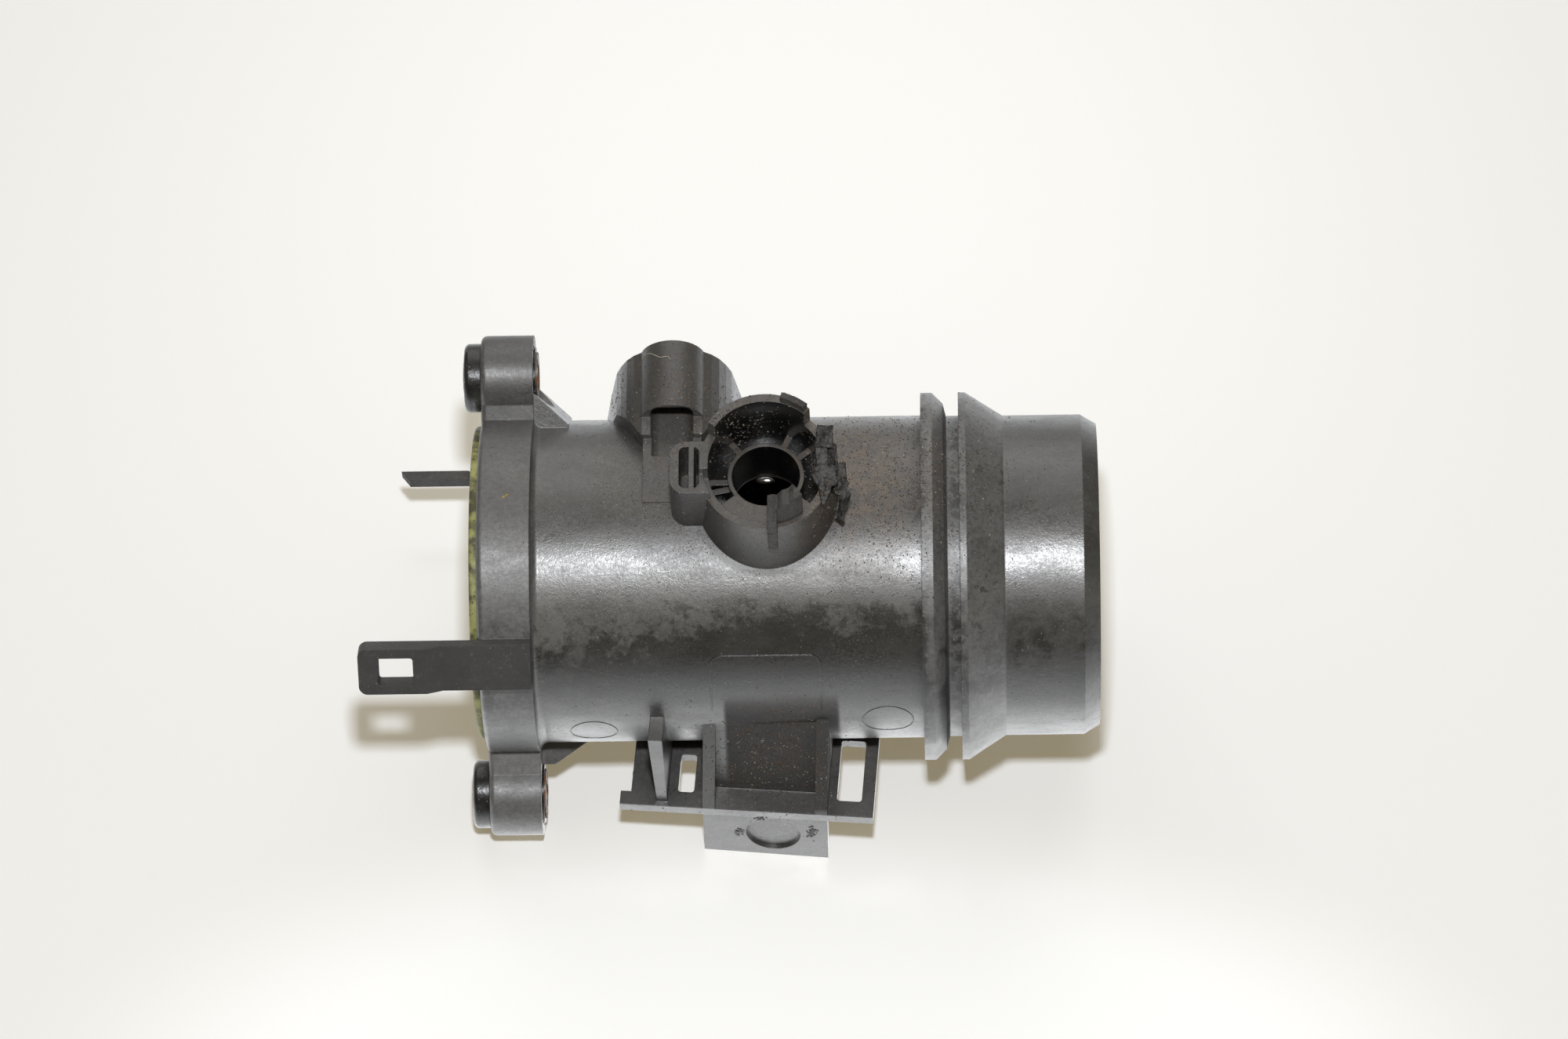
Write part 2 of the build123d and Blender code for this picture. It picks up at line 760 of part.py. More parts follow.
# Steel sleeve of the lower bush.
with BuildPart() as lower_sleeve:
    with BuildSketch(Plane.YZ.offset(-grommet_head_t - sleeve_stand)):
        with Locations((ear_low_y, ear_low_z)):
            Circle(sleeve_r)
    extrude(amount=grommet_head_t + sleeve_stand + flange_t + grommet_lip_t + sleeve_collar_t)
    with BuildSketch(Plane.YZ.offset(flange_t + grommet_lip_t)):
        with Locations((ear_low_y, ear_low_z)):
            Circle(sleeve_collar_r)
    extrude(amount=sleeve_collar_t)
    with BuildSketch(Plane.YZ.offset(-grommet_head_t - sleeve_stand)):
        with Locations((ear_low_y, ear_low_z)):
            Circle(sleeve_bore_r)
    extrude(amount=flange_t + 3 * grommet_head_t, mode=Mode.SUBTRACT)
lower_sleeve.part.label = "lower_sleeve"
export_step(lower_sleeve.part, "parts/lower_sleeve.step")

# Plastic flow grid in the inlet.
with BuildPart() as inlet_grid:
    with BuildSketch(Plane.YZ.offset(grid_x)):
        with GridLocations(grid_pitch, 1, grid_bars, 1):
            Rectangle(grid_bar, 2 * grid_r)
        with GridLocations(1, grid_pitch, 1, grid_bars):
            Rectangle(2 * grid_r, grid_bar)
        Circle(grid_r - grid_rim / 2, mode=Mode.INTERSECT)
    extrude(amount=grid_t)
    with BuildSketch(Plane.YZ.offset(grid_x)):
        Circle(grid_r)
        Circle(grid_r - grid_rim, mode=Mode.SUBTRACT)
    extrude(amount=grid_t)
inlet_grid.part.label = "inlet_grid"
export_step(inlet_grid.part, "parts/inlet_grid.step")

# Spring ring that keeps the grid on its shoulder.
with BuildPart() as grid_retainer:
    with BuildSketch(Plane.YZ.offset(retainer_x)):
        Circle(retainer_out_r)
        Circle(retainer_in_r, mode=Mode.SUBTRACT)
        with Locations((0, -retainer_in_r)):
            Rectangle(retainer_gap_w, 3 * (retainer_out_r - retainer_in_r), mode=Mode.SUBTRACT)
    extrude(amount=retainer_t)
grid_retainer.part.label = "grid_retainer"
export_step(grid_retainer.part, "parts/grid_retainer.step")

# Plug-in sensor moulding: fixing plate, connector shroud and hollow finger.
with BuildPart() as sensor_head:
    with BuildSketch(back_plane):
        with Locations((0, (plate_low_z + plate_top_z) / 2)):
            RectangleRounded(2 * plate_half_w, plate_top_z - plate_low_z, 2.0)
        with Locations((0, screw_z_top)):
            Circle(plate_ear_r)
    extrude(amount=plate_t)
    with BuildSketch(back_plane.offset(plate_t)):
        RectangleRounded(shroud_t, shroud_w, 2.0)
    extrude(amount=shroud_y - pad_y - plate_t)
    with BuildSketch(back_plane.offset(shroud_floor_y - pad_y)):
        RectangleRounded(shroud_t - 2 * shroud_wall, shroud_w - 2 * shroud_wall, 1.0)
    extrude(amount=shroud_y, mode=Mode.SUBTRACT)
    with BuildSketch(back_plane):
        with Locations((0, finger_z)):
            Rectangle(finger_t, finger_w)
    extrude(amount=finger_tip_y - pad_y)
    with BuildSketch(Plane.YZ.offset(board_x)):
        with Locations(((pocket_low_y + pocket_top_y) / 2, finger_z)):
            Rectangle(pocket_top_y - pocket_low_y, pocket_w)
    extrude(amount=finger_t, mode=Mode.SUBTRACT)
    with BuildSketch(Plane.YZ.offset(cover_x)):
        with Locations(((pocket_low_y + pocket_top_y) / 2, finger_z)):
            Rectangle(pocket_top_y - pocket_low_y + 2 * cover_ledge, pocket_w + 2 * cover_ledge)
    extrude(amount=finger_t, mode=Mode.SUBTRACT)
    with Locations((finger_near_x, pocket_low_y + window_l / 2 + 0.5, finger_z)):
        Box(3 * pocket_floor, window_l - 2, window_w, mode=Mode.SUBTRACT)
    with BuildSketch(back_plane):
        with Locations((0, screw_z_top), (0, screw_z_low)):
            Circle(screw_r + screw_gap)
    extrude(amount=plate_t, mode=Mode.SUBTRACT)
    for n in range(pin_count):
        pin_z = (n - (pin_count - 1) / 2) * pin_pitch
        with Locations((board_x + board_t + pin_t / 2, (pin_low_y + pin_top_y) / 2, pin_z)):
            Box(pin_t, pin_top_y - pin_low_y, pin_t, mode=Mode.SUBTRACT)
sensor_head.part.label = "sensor_head"
export_step(sensor_head.part, "parts/sensor_head.step")

# Rectangular seal between the sensor plate and the duct.
with BuildPart() as sensor_seal:
    with BuildSketch(back_plane):
        with Locations((0, finger_z)):
            Rectangle(sensor_seal_t, sensor_seal_w)
            Rectangle(finger_t + 2 * slot_gap, finger_w + 2 * slot_gap, mode=Mode.SUBTRACT)
    extrude(amount=-seal_step_depth)
sensor_seal.part.label = "sensor_seal"
export_step(sensor_seal.part, "parts/sensor_seal.step")

# Screw above the connector.
with BuildPart() as upper_screw:
    with BuildSketch(back_plane.offset(plate_t)):
        with Locations((0, screw_z_top)):
            Circle(screw_head_r)
    extrude(amount=screw_head_t)
    with BuildSketch(back_plane.offset(plate_t + screw_head_t)):
        with Locations((0, screw_z_top)):
            Rectangle(screw_slot_w, screw_head_r)
            Rectangle(screw_head_r, screw_slot_w)
    extrude(amount=-screw_slot_depth, mode=Mode.SUBTRACT)
    with BuildSketch(back_plane.offset(plate_t)):
        with Locations((0, screw_z_top)):
            Circle(screw_r)
    extrude(amount=-screw_depth - plate_t)
upper_screw.part.label = "upper_screw"
export_step(upper_screw.part, "parts/upper_screw.step")

# Screw below the connector.
with BuildPart() as lower_screw:
    with BuildSketch(back_plane.offset(plate_t)):
        with Locations((0, screw_z_low)):
            Circle(screw_head_r)
    extrude(amount=screw_head_t)
    with BuildSketch(back_plane.offset(plate_t + screw_head_t)):
        with Locations((0, screw_z_low)):
            Rectangle(screw_slot_w, screw_head_r)
            Rectangle(screw_head_r, screw_slot_w)
    extrude(amount=-screw_slot_depth, mode=Mode.SUBTRACT)
    with BuildSketch(back_plane.offset(plate_t)):
        with Locations((0, screw_z_low)):
            Circle(screw_r)
    extrude(amount=-screw_depth - plate_t)
lower_screw.part.label = "lower_screw"
export_step(lower_screw.part, "parts/lower_screw.step")

# Circuit board on the floor of the finger.
with BuildPart() as circuit_board:
    with Locations((board_x + board_t / 2, (board_low_y + board_top_y) / 2, finger_z)):
        Box(board_t, board_top_y - board_low_y, board_w)
circuit_board.part.label = "circuit_board"
export_step(circuit_board.part, "parts/circuit_board.step")

# Hot-film carrier reaching from the board into the air channel.
with BuildPart() as hot_film:
    with Locations((board_x + board_t + film_t / 2, (film_low_y + film_top_y) / 2, finger_z)):
        Box(film_t, film_top_y - film_low_y, film_w)
hot_film.part.label = "hot_film"
export_step(hot_film.part, "parts/hot_film.step")

# Lid of the finger, with the air outlet.
with BuildPart() as finger_cover:
    with Locations((cover_x + cover_t / 2, (pocket_low_y + pocket_top_y) / 2, finger_z)):
        Box(
            cover_t,
            pocket_top_y - pocket_low_y + 2 * cover_ledge - 2 * cover_gap,
            pocket_w + 2 * cover_ledge - 2 * cover_gap,
        )
    with Locations((cover_x, pocket_low_y + window_l / 2, finger_z)):
        Box(3 * cover_t, window_l - 2, window_w, mode=Mode.SUBTRACT)
finger_cover.part.label = "finger_cover"
export_step(finger_cover.part, "parts/finger_cover.step")

# Air temperature bead under the finger.
with BuildPart() as temperature_bead:
    with BuildSketch(Plane.XY.offset(finger_z - finger_w / 2)):
        with Locations((sensor_x, 6)):
            Circle(bead_r)
    extrude(amount=-bead_l)
    tip = [e for e in temperature_bead.edges() if e.center().Z < finger_z - finger_w / 2 - bead_l + 0.01]
    fillet(tip, radius=bead_r * 0.8)
temperature_bead.part.label = "temperature_bead"
export_step(temperature_bead.part, "parts/temperature_bead.step")

pin_x = board_x + board_t + pin_t / 2
pin_y = (pin_low_y + pin_top_y) / 2

# Connector pins, from the board out into the shroud.
with BuildPart() as pin_1:
    with Locations((pin_x, pin_y, -2 * pin_pitch)):
        Box(pin_t, pin_top_y - pin_low_y, pin_t)
pin_1.part.label = "pin_1"
export_step(pin_1.part, "parts/pin_1.step")

with BuildPart() as pin_2:
    with Locations((pin_x, pin_y, -pin_pitch)):
        Box(pin_t, pin_top_y - pin_low_y, pin_t)
pin_2.part.label = "pin_2"
export_step(pin_2.part, "parts/pin_2.step")

with BuildPart() as pin_3:
    with Locations((pin_x, pin_y, 0)):
        Box(pin_t, pin_top_y - pin_low_y, pin_t)
pin_3.part.label = "pin_3"
export_step(pin_3.part, "parts/pin_3.step")

with BuildPart() as pin_4:
    with Locations((pin_x, pin_y, pin_pitch)):
        Box(pin_t, pin_top_y - pin_low_y, pin_t)
pin_4.part.label = "pin_4"
export_step(pin_4.part, "parts/pin_4.step")

with BuildPart() as pin_5:
    with Locations((pin_x, pin_y, 2 * pin_pitch)):
        Box(pin_t, pin_top_y - pin_low_y, pin_t)
pin_5.part.label = "pin_5"
export_step(pin_5.part, "parts/pin_5.step")

# Front piece of the broken fitting: a curved block hooked over the cup rim.
with BuildPart() as front_remnant:
    with BuildSketch(Plane.XY.offset(cup_rim_z)):
        with Locations((port_x, 0)):
            Circle(front_piece_out_r)
            Circle(front_piece_in_r, mode=Mode.SUBTRACT)
        Polygon(
            (port_x + hook_x, 0),
            (port_x + hook_x, -9 * cup_r),
            (port_x + 9 * cup_r * cos(radians(front_piece_end)), 9 * cup_r * sin(radians(front_piece_end))),
            align=None,
            mode=Mode.INTERSECT,
        )
    extrude(amount=front_piece_low_top + front_piece_rise - cup_rim_z)
    with Locations((port_x + hook_x + hook_w / 2, hook_mid_y, (cup_rim_z + front_piece_low_top) / 2)):
        Box(hook_w, -hook_y - front_piece_in_r - 0.6, front_piece_low_top - cup_rim_z)
    with Locations((port_x + hook_x + hook_w / 2, hook_y + hook_t / 2, (hook_low_z + cup_rim_z) / 2 + 0.5)):
        Box(hook_w, hook_t, cup_rim_z - hook_low_z + 1)
    # jagged top
    with BuildSketch(Plane.XZ.offset(-front_piece_in_r)):
        Polygon(
            *[(port_x + hook_x + dx, front_piece_low_top + dz) for dx, dz in torn_edge],
            (port_x + hook_x + cup_r, front_piece_low_top + cup_r),
            (port_x + hook_x - hook_w, front_piece_low_top + cup_r),
            align=None,
        )
    extrude(amount=4 * cup_r, both=True, mode=Mode.SUBTRACT)
front_remnant.part.label = "front_remnant"
export_step(front_remnant.part, "parts/front_remnant.step")

# Right piece: a torn shard lying on the rim.
with BuildPart() as right_remnant:
    with BuildSketch(Plane.XY.offset(cup_rim_z)):
        Polygon(*[(port_x + dx, y) for dx, y in right_piece], align=None)
    extrude(amount=right_piece_t)
right_remnant.part.label = "right_remnant"
export_step(right_remnant.part, "parts/right_remnant.step")

# Rear piece: a torn length of the fitting's edge on the tall rim.
with BuildPart() as rear_remnant:
    with BuildSketch(Plane.XY.offset(back_rim[3])):
        with Locations((port_x, 0)):
            Circle(cup_r - 0.3)
            Circle(cup_in_r + 0.2, mode=Mode.SUBTRACT)
        Polygon(
            (port_x, 0),
            (port_x + 9 * cup_r * cos(radians(rear_piece_start)), 9 * cup_r * sin(radians(rear_piece_start))),
            (port_x + 9 * cup_r * cos(radians(rear_piece_end)), 9 * cup_r * sin(radians(rear_piece_end))),
            align=None,
            mode=Mode.INTERSECT,
        )
    extrude(amount=rear_piece_t)
rear_remnant.part.label = "rear_remnant"
export_step(rear_remnant.part, "parts/rear_remnant.step")
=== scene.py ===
import math
import random

import bpy
from mathutils import Matrix, Vector


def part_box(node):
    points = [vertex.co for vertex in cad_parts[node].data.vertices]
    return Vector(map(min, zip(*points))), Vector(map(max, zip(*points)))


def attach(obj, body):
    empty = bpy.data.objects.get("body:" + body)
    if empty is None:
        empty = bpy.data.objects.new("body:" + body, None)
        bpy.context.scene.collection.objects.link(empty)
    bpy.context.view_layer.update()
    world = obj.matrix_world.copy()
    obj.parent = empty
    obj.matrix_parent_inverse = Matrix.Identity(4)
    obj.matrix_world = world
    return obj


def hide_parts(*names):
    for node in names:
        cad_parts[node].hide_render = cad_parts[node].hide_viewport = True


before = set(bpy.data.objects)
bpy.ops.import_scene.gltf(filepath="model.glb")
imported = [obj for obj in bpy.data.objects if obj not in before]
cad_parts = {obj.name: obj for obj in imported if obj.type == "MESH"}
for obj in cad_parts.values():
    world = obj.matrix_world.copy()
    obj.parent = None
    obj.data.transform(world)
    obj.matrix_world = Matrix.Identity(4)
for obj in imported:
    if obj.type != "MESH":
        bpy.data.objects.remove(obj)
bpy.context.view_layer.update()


# Table, lamps and camera. The sensor lies on a glossy white table, its flange rim and first hose
# ring touching it, so in the part's own frame the table falls away a little towards the hose end.
# One small lamp stands close above the camera, and a broad pale panel stands behind the sensor.
class Finish:
    def __init__(self, name):
        self.material = bpy.data.materials.new(name)
        self.material.use_nodes = True
        self.tree = self.material.node_tree
        self.shader = self.tree.nodes["Principled BSDF"]
        self.place = self.add("TexCoord").outputs["Object"]
        self.x, self.y, self.z = self.add("SeparateXYZ", {0: self.place}).outputs
        facing = self.add("SeparateXYZ", {0: self.add("NewGeometry").outputs["Normal"]})
        self.faces_up = self.span(facing.outputs["Z"], 0.1, 0.9)

    def feed(self, socket, value):
        if isinstance(value, bpy.types.NodeSocket):
            self.tree.links.new(value, socket)
        elif isinstance(value, tuple) and len(value) == 3 and socket.type == "RGBA":
            socket.default_value = (*value, 1)
        else:
            socket.default_value = value

    def add(self, kind, inputs=None, **settings):
        step = self.tree.nodes.new("ShaderNode" + kind)
        for setting, value in settings.items():
            setattr(step, setting, value)
        for socket, value in (inputs or {}).items():
            self.feed(step.inputs[socket], value)
        return step

    def shade(self, **sockets):
        for socket, value in sockets.items():
            self.feed(self.shader.inputs[socket.replace("_", " ")], value)

    def maths(self, operation, first, second=0.0):
        return self.add("Math", {0: first, 1: second}, operation=operation).outputs[0]

    def times(self, *values):
        product = values[0]
        for value in values[1:]:
            product = self.maths("MULTIPLY", product, value)
        return product

    def span(self, value, low, high, start=0.0, end=1.0, fall="LINEAR"):
        ends = {"Value": value, "From Min": low, "From Max": high, "To Min": start, "To Max": end}
        return self.add("MapRange", ends, interpolation_type=fall).outputs["Result"]

    def cloud(self, scale, detail, low, high, stretch=(1, 1, 1), speckle=0.5):
        turn = self.add("Mapping", {"Vector": self.place, "Scale": stretch}).outputs["Vector"]
        noise = self.add("TexNoise", {"Vector": turn, "Scale": scale, "Detail": detail, "Roughness": speckle})
        return self.span(noise.outputs["Fac"], low, high)

    def grains(self, scale, size, share):
        cells = self.add("TexVoronoi", {"Vector": self.place, "Scale": scale})
        lot = self.add("SeparateColor", {0: cells.outputs["Color"]})
        kept = self.maths("LESS_THAN", lot.outputs["Red"], share)
        wide = self.span(lot.outputs["Green"], 0.0, 1.0, 0.4 * size, size)
        return self.times(self.span(cells.outputs["Distance"], self.maths("ADD", wide, 0.08), wide), kept)

    def reach_from(self, centre, scale=(1, 1, 1)):
        apart = self.add("VectorMath", {0: self.place, 1: centre}, operation="SUBTRACT").outputs[0]
        scaled = self.add("VectorMath", {0: apart, 1: scale}, operation="MULTIPLY").outputs[0]
        return self.add("VectorMath", {0: scaled}, operation="LENGTH").outputs["Value"]

    def steps(self, value, stops):
        low, high = stops[0][0], stops[-1][0]
        ramp = self.add("ValToRGB", {"Fac": self.span(value, low, high)})
        for place, level in stops[1:-1]:
            ramp.color_ramp.elements.new((place - low) / (high - low)).color = (level, level, level, 1)
        ramp.color_ramp.elements[0].color = (stops[0][1],) * 3 + (1,)
        ramp.color_ramp.elements[-1].color = (stops[-1][1],) * 3 + (1,)
        return ramp.outputs["Color"]

    def mix(self, share, under, over):
        both = {"Factor": share, "A": under, "B": over}
        return self.add("Mix", both, data_type="RGBA").outputs["Result"]

    def surface(self, colour, rough, relief, depth):
        rounded = self.add("Bevel", {"Radius": 0.0004}, samples=4).outputs["Normal"]
        bump = {"Strength": 1.0, "Distance": depth, "Height": relief, "Normal": rounded}
        self.shade(Base_Color=colour, Roughness=rough, Normal=self.add("Bump", bump).outputs["Normal"])


lean = math.radians(1.6)
table_z = -0.0456
table_low = Vector((0.112, 0.0, table_z))
below_part = (0.0740, 0.0, table_z)
behind_part = (0.0740, 0.160, table_z)
before_part = (0.0740, -0.130, table_z)
front_foot = (0.0, -0.052, 0.0)
bpy.ops.object.select_all(action="DESELECT")
bpy.ops.mesh.primitive_plane_add(size=8.0, location=table_low, rotation=(0, lean, 0))
table = bpy.context.object
table.name = "table"
bpy.ops.object.transform_apply(location=True, rotation=True, scale=True)
white_table = Finish("white_table")
# Painted reflection: the table glows for glossy rays only, round the sensor's foot and along a line in front
# of it, so the tube shows a bright band low down.
painted_reflection_glow = white_table.maths(
    "ADD",
    white_table.span(white_table.reach_from(below_part), 0.34, 0.14, 0.0, 0.55),
    white_table.span(white_table.reach_from(front_foot, (0, 1, 0)), 0.050, 0.010),
)
# Painted light: to the camera the table glows brighter in a pool behind the sensor and in a second pool in
# front of it.
painted_pool_behind = white_table.span(white_table.reach_from(behind_part), 0.26, 0.02, fall="SMOOTHSTEP")
before = white_table.span(
    white_table.reach_from(before_part, (0.5, 1, 0)), 0.100, 0.060, fall="SMOOTHSTEP")
painted_floor_light = white_table.maths(
    "ADD", white_table.span(painted_pool_behind, 0.0, 1.0, 0.165, 0.265), white_table.times(before, 0.155))
# Painted shade colour: the table's glow, as the camera sees it, is tinted tan to warm its shadows, and is
# paler within the two painted pools of light.
tan = white_table.mix(painted_pool_behind, (1.0, 0.77, 0.34), (1.0, 0.88, 0.62))
tan = white_table.mix(before, tan, (1.0, 0.91, 0.73))
rays = white_table.add("LightPath").outputs
white_table.shade(
    Base_Color=(0.86, 0.90, 0.96),
    Roughness=0.22,
    Emission_Color=white_table.mix(rays["Is Camera Ray"], (1.0, 0.995, 0.98), tan),
    Emission_Strength=white_table.maths(
        "ADD",
        white_table.times(rays["Is Glossy Ray"], painted_reflection_glow),
        white_table.times(rays["Is Camera Ray"], painted_floor_light),
    ),
)
table.data.materials.append(white_table.material)

world = bpy.data.worlds.new("studio")
bpy.context.scene.world = world
world.use_nodes = True
world.node_tree.nodes["Background"].inputs["Color"].default_value = (1.0, 0.90, 0.68, 1)
world.node_tree.nodes["Background"].inputs["Strength"].default_value = 0.15

camera_height = math.radians(60.0)
tilt = Matrix.Rotation(lean, 3, "Y")
look = tilt @ Vector((0.0, math.cos(camera_height), -math.sin(camera_height)))
right = tilt @ Vector((1.0, 0.0, 0.0))
up = tilt @ Vector((0.0, math.sin(camera_height), math.cos(camera_height)))
aim = Vector((0.0740, 0.0, 0.0)) + 0.0146 * up
distance = 1.790
metres_per_pixel = 0.000195
view_w, view_h = 2000, 1325
camera_data = bpy.data.cameras.new("camera")
camera_data.sensor_width = 36.0
camera_data.lens = camera_data.sensor_width * distance / (metres_per_pixel * view_w)
camera = bpy.data.objects.new("camera", camera_data)
bpy.context.collection.objects.link(camera)
facing = Matrix((right, up, -look)).transposed().to_4x4()
camera.matrix_world = Matrix.Translation(aim - look * distance) @ facing
bpy.context.scene.camera = camera

for name, swing, away, side, watts, tint in (
    ("key_lamp", 11.0, 1.3, 0.08, 10.4, (0.985, 1.0, 1.03)),
    ("back_panel", 85.0, 1.6, 1.6, 8.6, (1.0, 1.0, 1.0)),
):
    lamp_data = bpy.data.lights.new(name, "AREA")
    lamp_data.shape = "SQUARE"
    lamp_data.size = side
    lamp_data.energy = watts
    lamp_data.color = tint
    lamp = bpy.data.objects.new(name, lamp_data)
    bpy.context.collection.objects.link(lamp)
    towards = Matrix.Rotation(math.radians(-swing), 3, "X") @ (-look)
    lamp.location = aim + towards * away
    lamp.rotation_euler = (-towards).to_track_quat("-Z", "Y").to_euler()

bpy.context.scene.view_settings.view_transform = "Standard"


# The duct housing is one moulding in black glass-filled nylon. Years beside an engine have left it greyed and
# scuffed on the flange and hose rings, and wet with oil low on the front, where a band is also painted dark
# as painted shade. The flange's top, the wet inside of the duct and port cup, and the bracket pocket are
# painted darker as painted shade. Brown road dust has settled round the vent port, on the right-hand end and
# in the bracket.
def dress(names, finish):
    for name in names:
        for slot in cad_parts[name].material_slots:
            slot.material = finish.material


nylon = Finish("black_nylon")
nylon.shade(IOR=1.6, Specular_IOR_Level=0.90, Coat_Roughness=0.38)
bore_r = 0.0366
arm_half_w = 0.0063
port_x = 0.0710
cup_in_r, cup_out_r = 0.0139, 0.0186
cup_floor_z, cup_rim_z, rib_top_z = 0.0370, 0.0515, 0.0465
arm_black = (0.007, 0.007, 0.007)
handled_black = (0.007, 0.0065, 0.006)
wet_and_shaded_black = (0.0025, 0.0025, 0.003)
oil_and_shade_black = (0.006, 0.0055, 0.005)
grime_black = (0.008, 0.007, 0.006)
old_oil = (0.016, 0.013, 0.011)
pale_dust = (0.27, 0.26, 0.235)
film_dust = (0.22, 0.20, 0.17)
earth_dust = (0.120, 0.090, 0.062)
earth_grain = (0.150, 0.082, 0.040)
pale_grain = (0.42, 0.38, 0.31)
scuff_grey = (0.20, 0.19, 0.17)
round_front = nylon.maths("ARCTAN2", nylon.maths("MULTIPLY", nylon.y, -1.0), nylon.z)

# snap arms, flange, tube, hose rings and spigot, each from its left end to its right
lengths = (
    (-0.0300, -0.0010), (0.0005, 0.0128), (0.0138, 0.1080), (0.1088, 0.1282), (0.1290, 0.1520))


def by_length(*levels):
    stops = [stop for ends, pair in zip(lengths, levels) for stop in zip(ends, pair)]
    return nylon.steps(nylon.x, stops)


greyness = by_length((0.010, 0.010), (0.145, 0.145), (0.046, 0.038), (0.128, 0.128), (0.030, 0.030))
on_flange = nylon.times(nylon.span(nylon.x, -0.0010, 0.0005), nylon.span(nylon.x, 0.0138, 0.0128))
# the flange is painted darker over its top and back, as painted shade
flange_top_shade = nylon.times(on_flange, nylon.span(round_front, 0.6, -0.3), 0.50)
greyness = nylon.times(greyness, nylon.maths("SUBTRACT", 1.0, flange_top_shade))

# the windowed snap arm and its root over the flange rim are blacker than the rest
arm_y, arm_z = -0.8405, 0.5417
outwards = nylon.maths("ADD", nylon.times(nylon.y, arm_y), nylon.times(nylon.z, arm_z))
sideways = nylon.maths("SUBTRACT", nylon.times(nylon.z, arm_y), nylon.times(nylon.y, arm_z))
on_arm = nylon.times(
    nylon.span(nylon.maths("ABSOLUTE", sideways), arm_half_w, arm_half_w - 0.0001),
    nylon.span(outwards, 0.040, 0.041),
    nylon.span(nylon.x, 0.0137, 0.0136),
)
greyness = nylon.mix(on_arm, greyness, arm_black)
patchy = nylon.cloud(85, 5, 0.25, 0.75)
colour = nylon.mix(
    patchy,
    nylon.mix(0.30, greyness, (0.004, 0.004, 0.004)),
    nylon.mix(0.06, greyness, (0.30, 0.28, 0.25)),
)

# years of handling have left it finely mottled all over
mottle = nylon.cloud(800, 9, 0.40, 0.60, speckle=0.78)
colour = nylon.mix(nylon.times(mottle, 0.55), colour, handled_black)
pale_rub = nylon.times(nylon.cloud(1000, 6, 0.56, 0.66, speckle=0.7), nylon.cloud(60, 3, 0.35, 0.65))
colour = nylon.mix(nylon.times(pale_rub, 0.40), colour, scuff_grey)

# inside the duct and the port cup the plastic is clean and wet, and painted near black as painted shade of
# these hollows, but dust lies on rib tops
from_duct_axis = nylon.reach_from((0.0, 0.0, 0.0), (0, 1, 1))
from_port_axis = nylon.reach_from((port_x, 0.0, 0.0), (1, 1, 0))
in_duct = nylon.span(from_duct_axis, bore_r + 0.0003, bore_r + 0.0001)
front_lip = nylon.times(
    nylon.span(nylon.z, cup_rim_z - 0.0004, cup_rim_z - 0.0002), nylon.span(nylon.y, -0.005, -0.006))
in_cup = nylon.times(
    nylon.span(from_port_axis, cup_in_r + 0.0003, cup_in_r),
    nylon.span(nylon.z, cup_floor_z - 0.0004, cup_floor_z),
    nylon.maths("SUBTRACT", 1.0, front_lip),
)
dusty_ledge = nylon.times(nylon.faces_up, nylon.span(nylon.z, rib_top_z - 0.0003, rib_top_z), 0.85)
in_cup = nylon.times(in_cup, nylon.maths("SUBTRACT", 1.0, dusty_ledge))
wet_and_shaded_inside = nylon.maths("MAXIMUM", in_duct, in_cup)
dry = nylon.maths("SUBTRACT", 1.0, wet_and_shaded_inside)
colour = nylon.mix(nylon.times(wet_and_shaded_inside, 0.93), colour, wet_and_shaded_black)

# pale dust clings to the upper front of the tube; lower down oil has soaked into it and left dark blots,
# thicker towards the hose rings, and a band low on the front is painted dark all along as painted shade, its
# upper edge broken by the blots
on_tube = nylon.times(
    nylon.span(nylon.x, 0.0134, 0.0140), nylon.span(nylon.x, 0.1095, 0.1080, 0.45, 1.0))
dusty_front = nylon.times(
    on_tube,
    nylon.span(round_front, 0.34, 0.58),
    nylon.span(round_front, 1.18, 0.90),
    nylon.cloud(75, 8, 0.25, 0.62, speckle=0.6),
)
colour = nylon.mix(nylon.times(dusty_front, 0.42), colour, pale_dust)
oil_and_shade_belt = nylon.times(
    nylon.span(round_front, 0.56, 1.06),
    nylon.span(round_front, 1.56, 1.30),
    nylon.span(nylon.x, 0.015, 0.065, 0.35, 1.0),
    nylon.span(nylon.x, 0.1095, 0.1080, 0.3, 1.0),
)
blots = nylon.cloud(150, 9, 0.0, 1.0, speckle=0.74)
oil_and_shade = nylon.span(nylon.maths("ADD", blots, nylon.times(oil_and_shade_belt, 0.36)), 0.570, 0.680)
oil_and_shade = nylon.times(oil_and_shade, nylon.span(oil_and_shade_belt, 0.0, 0.25))
oil_spots = nylon.times(
    nylon.cloud(520, 6, 0.57, 0.62, speckle=0.65), nylon.cloud(38, 3, 0.44, 0.62), dry)
oil_and_shade = nylon.maths("MAXIMUM", oil_and_shade, nylon.times(oil_spots, 0.75))
colour = nylon.mix(nylon.times(oil_and_shade, 0.93), colour, oil_and_shade_black)

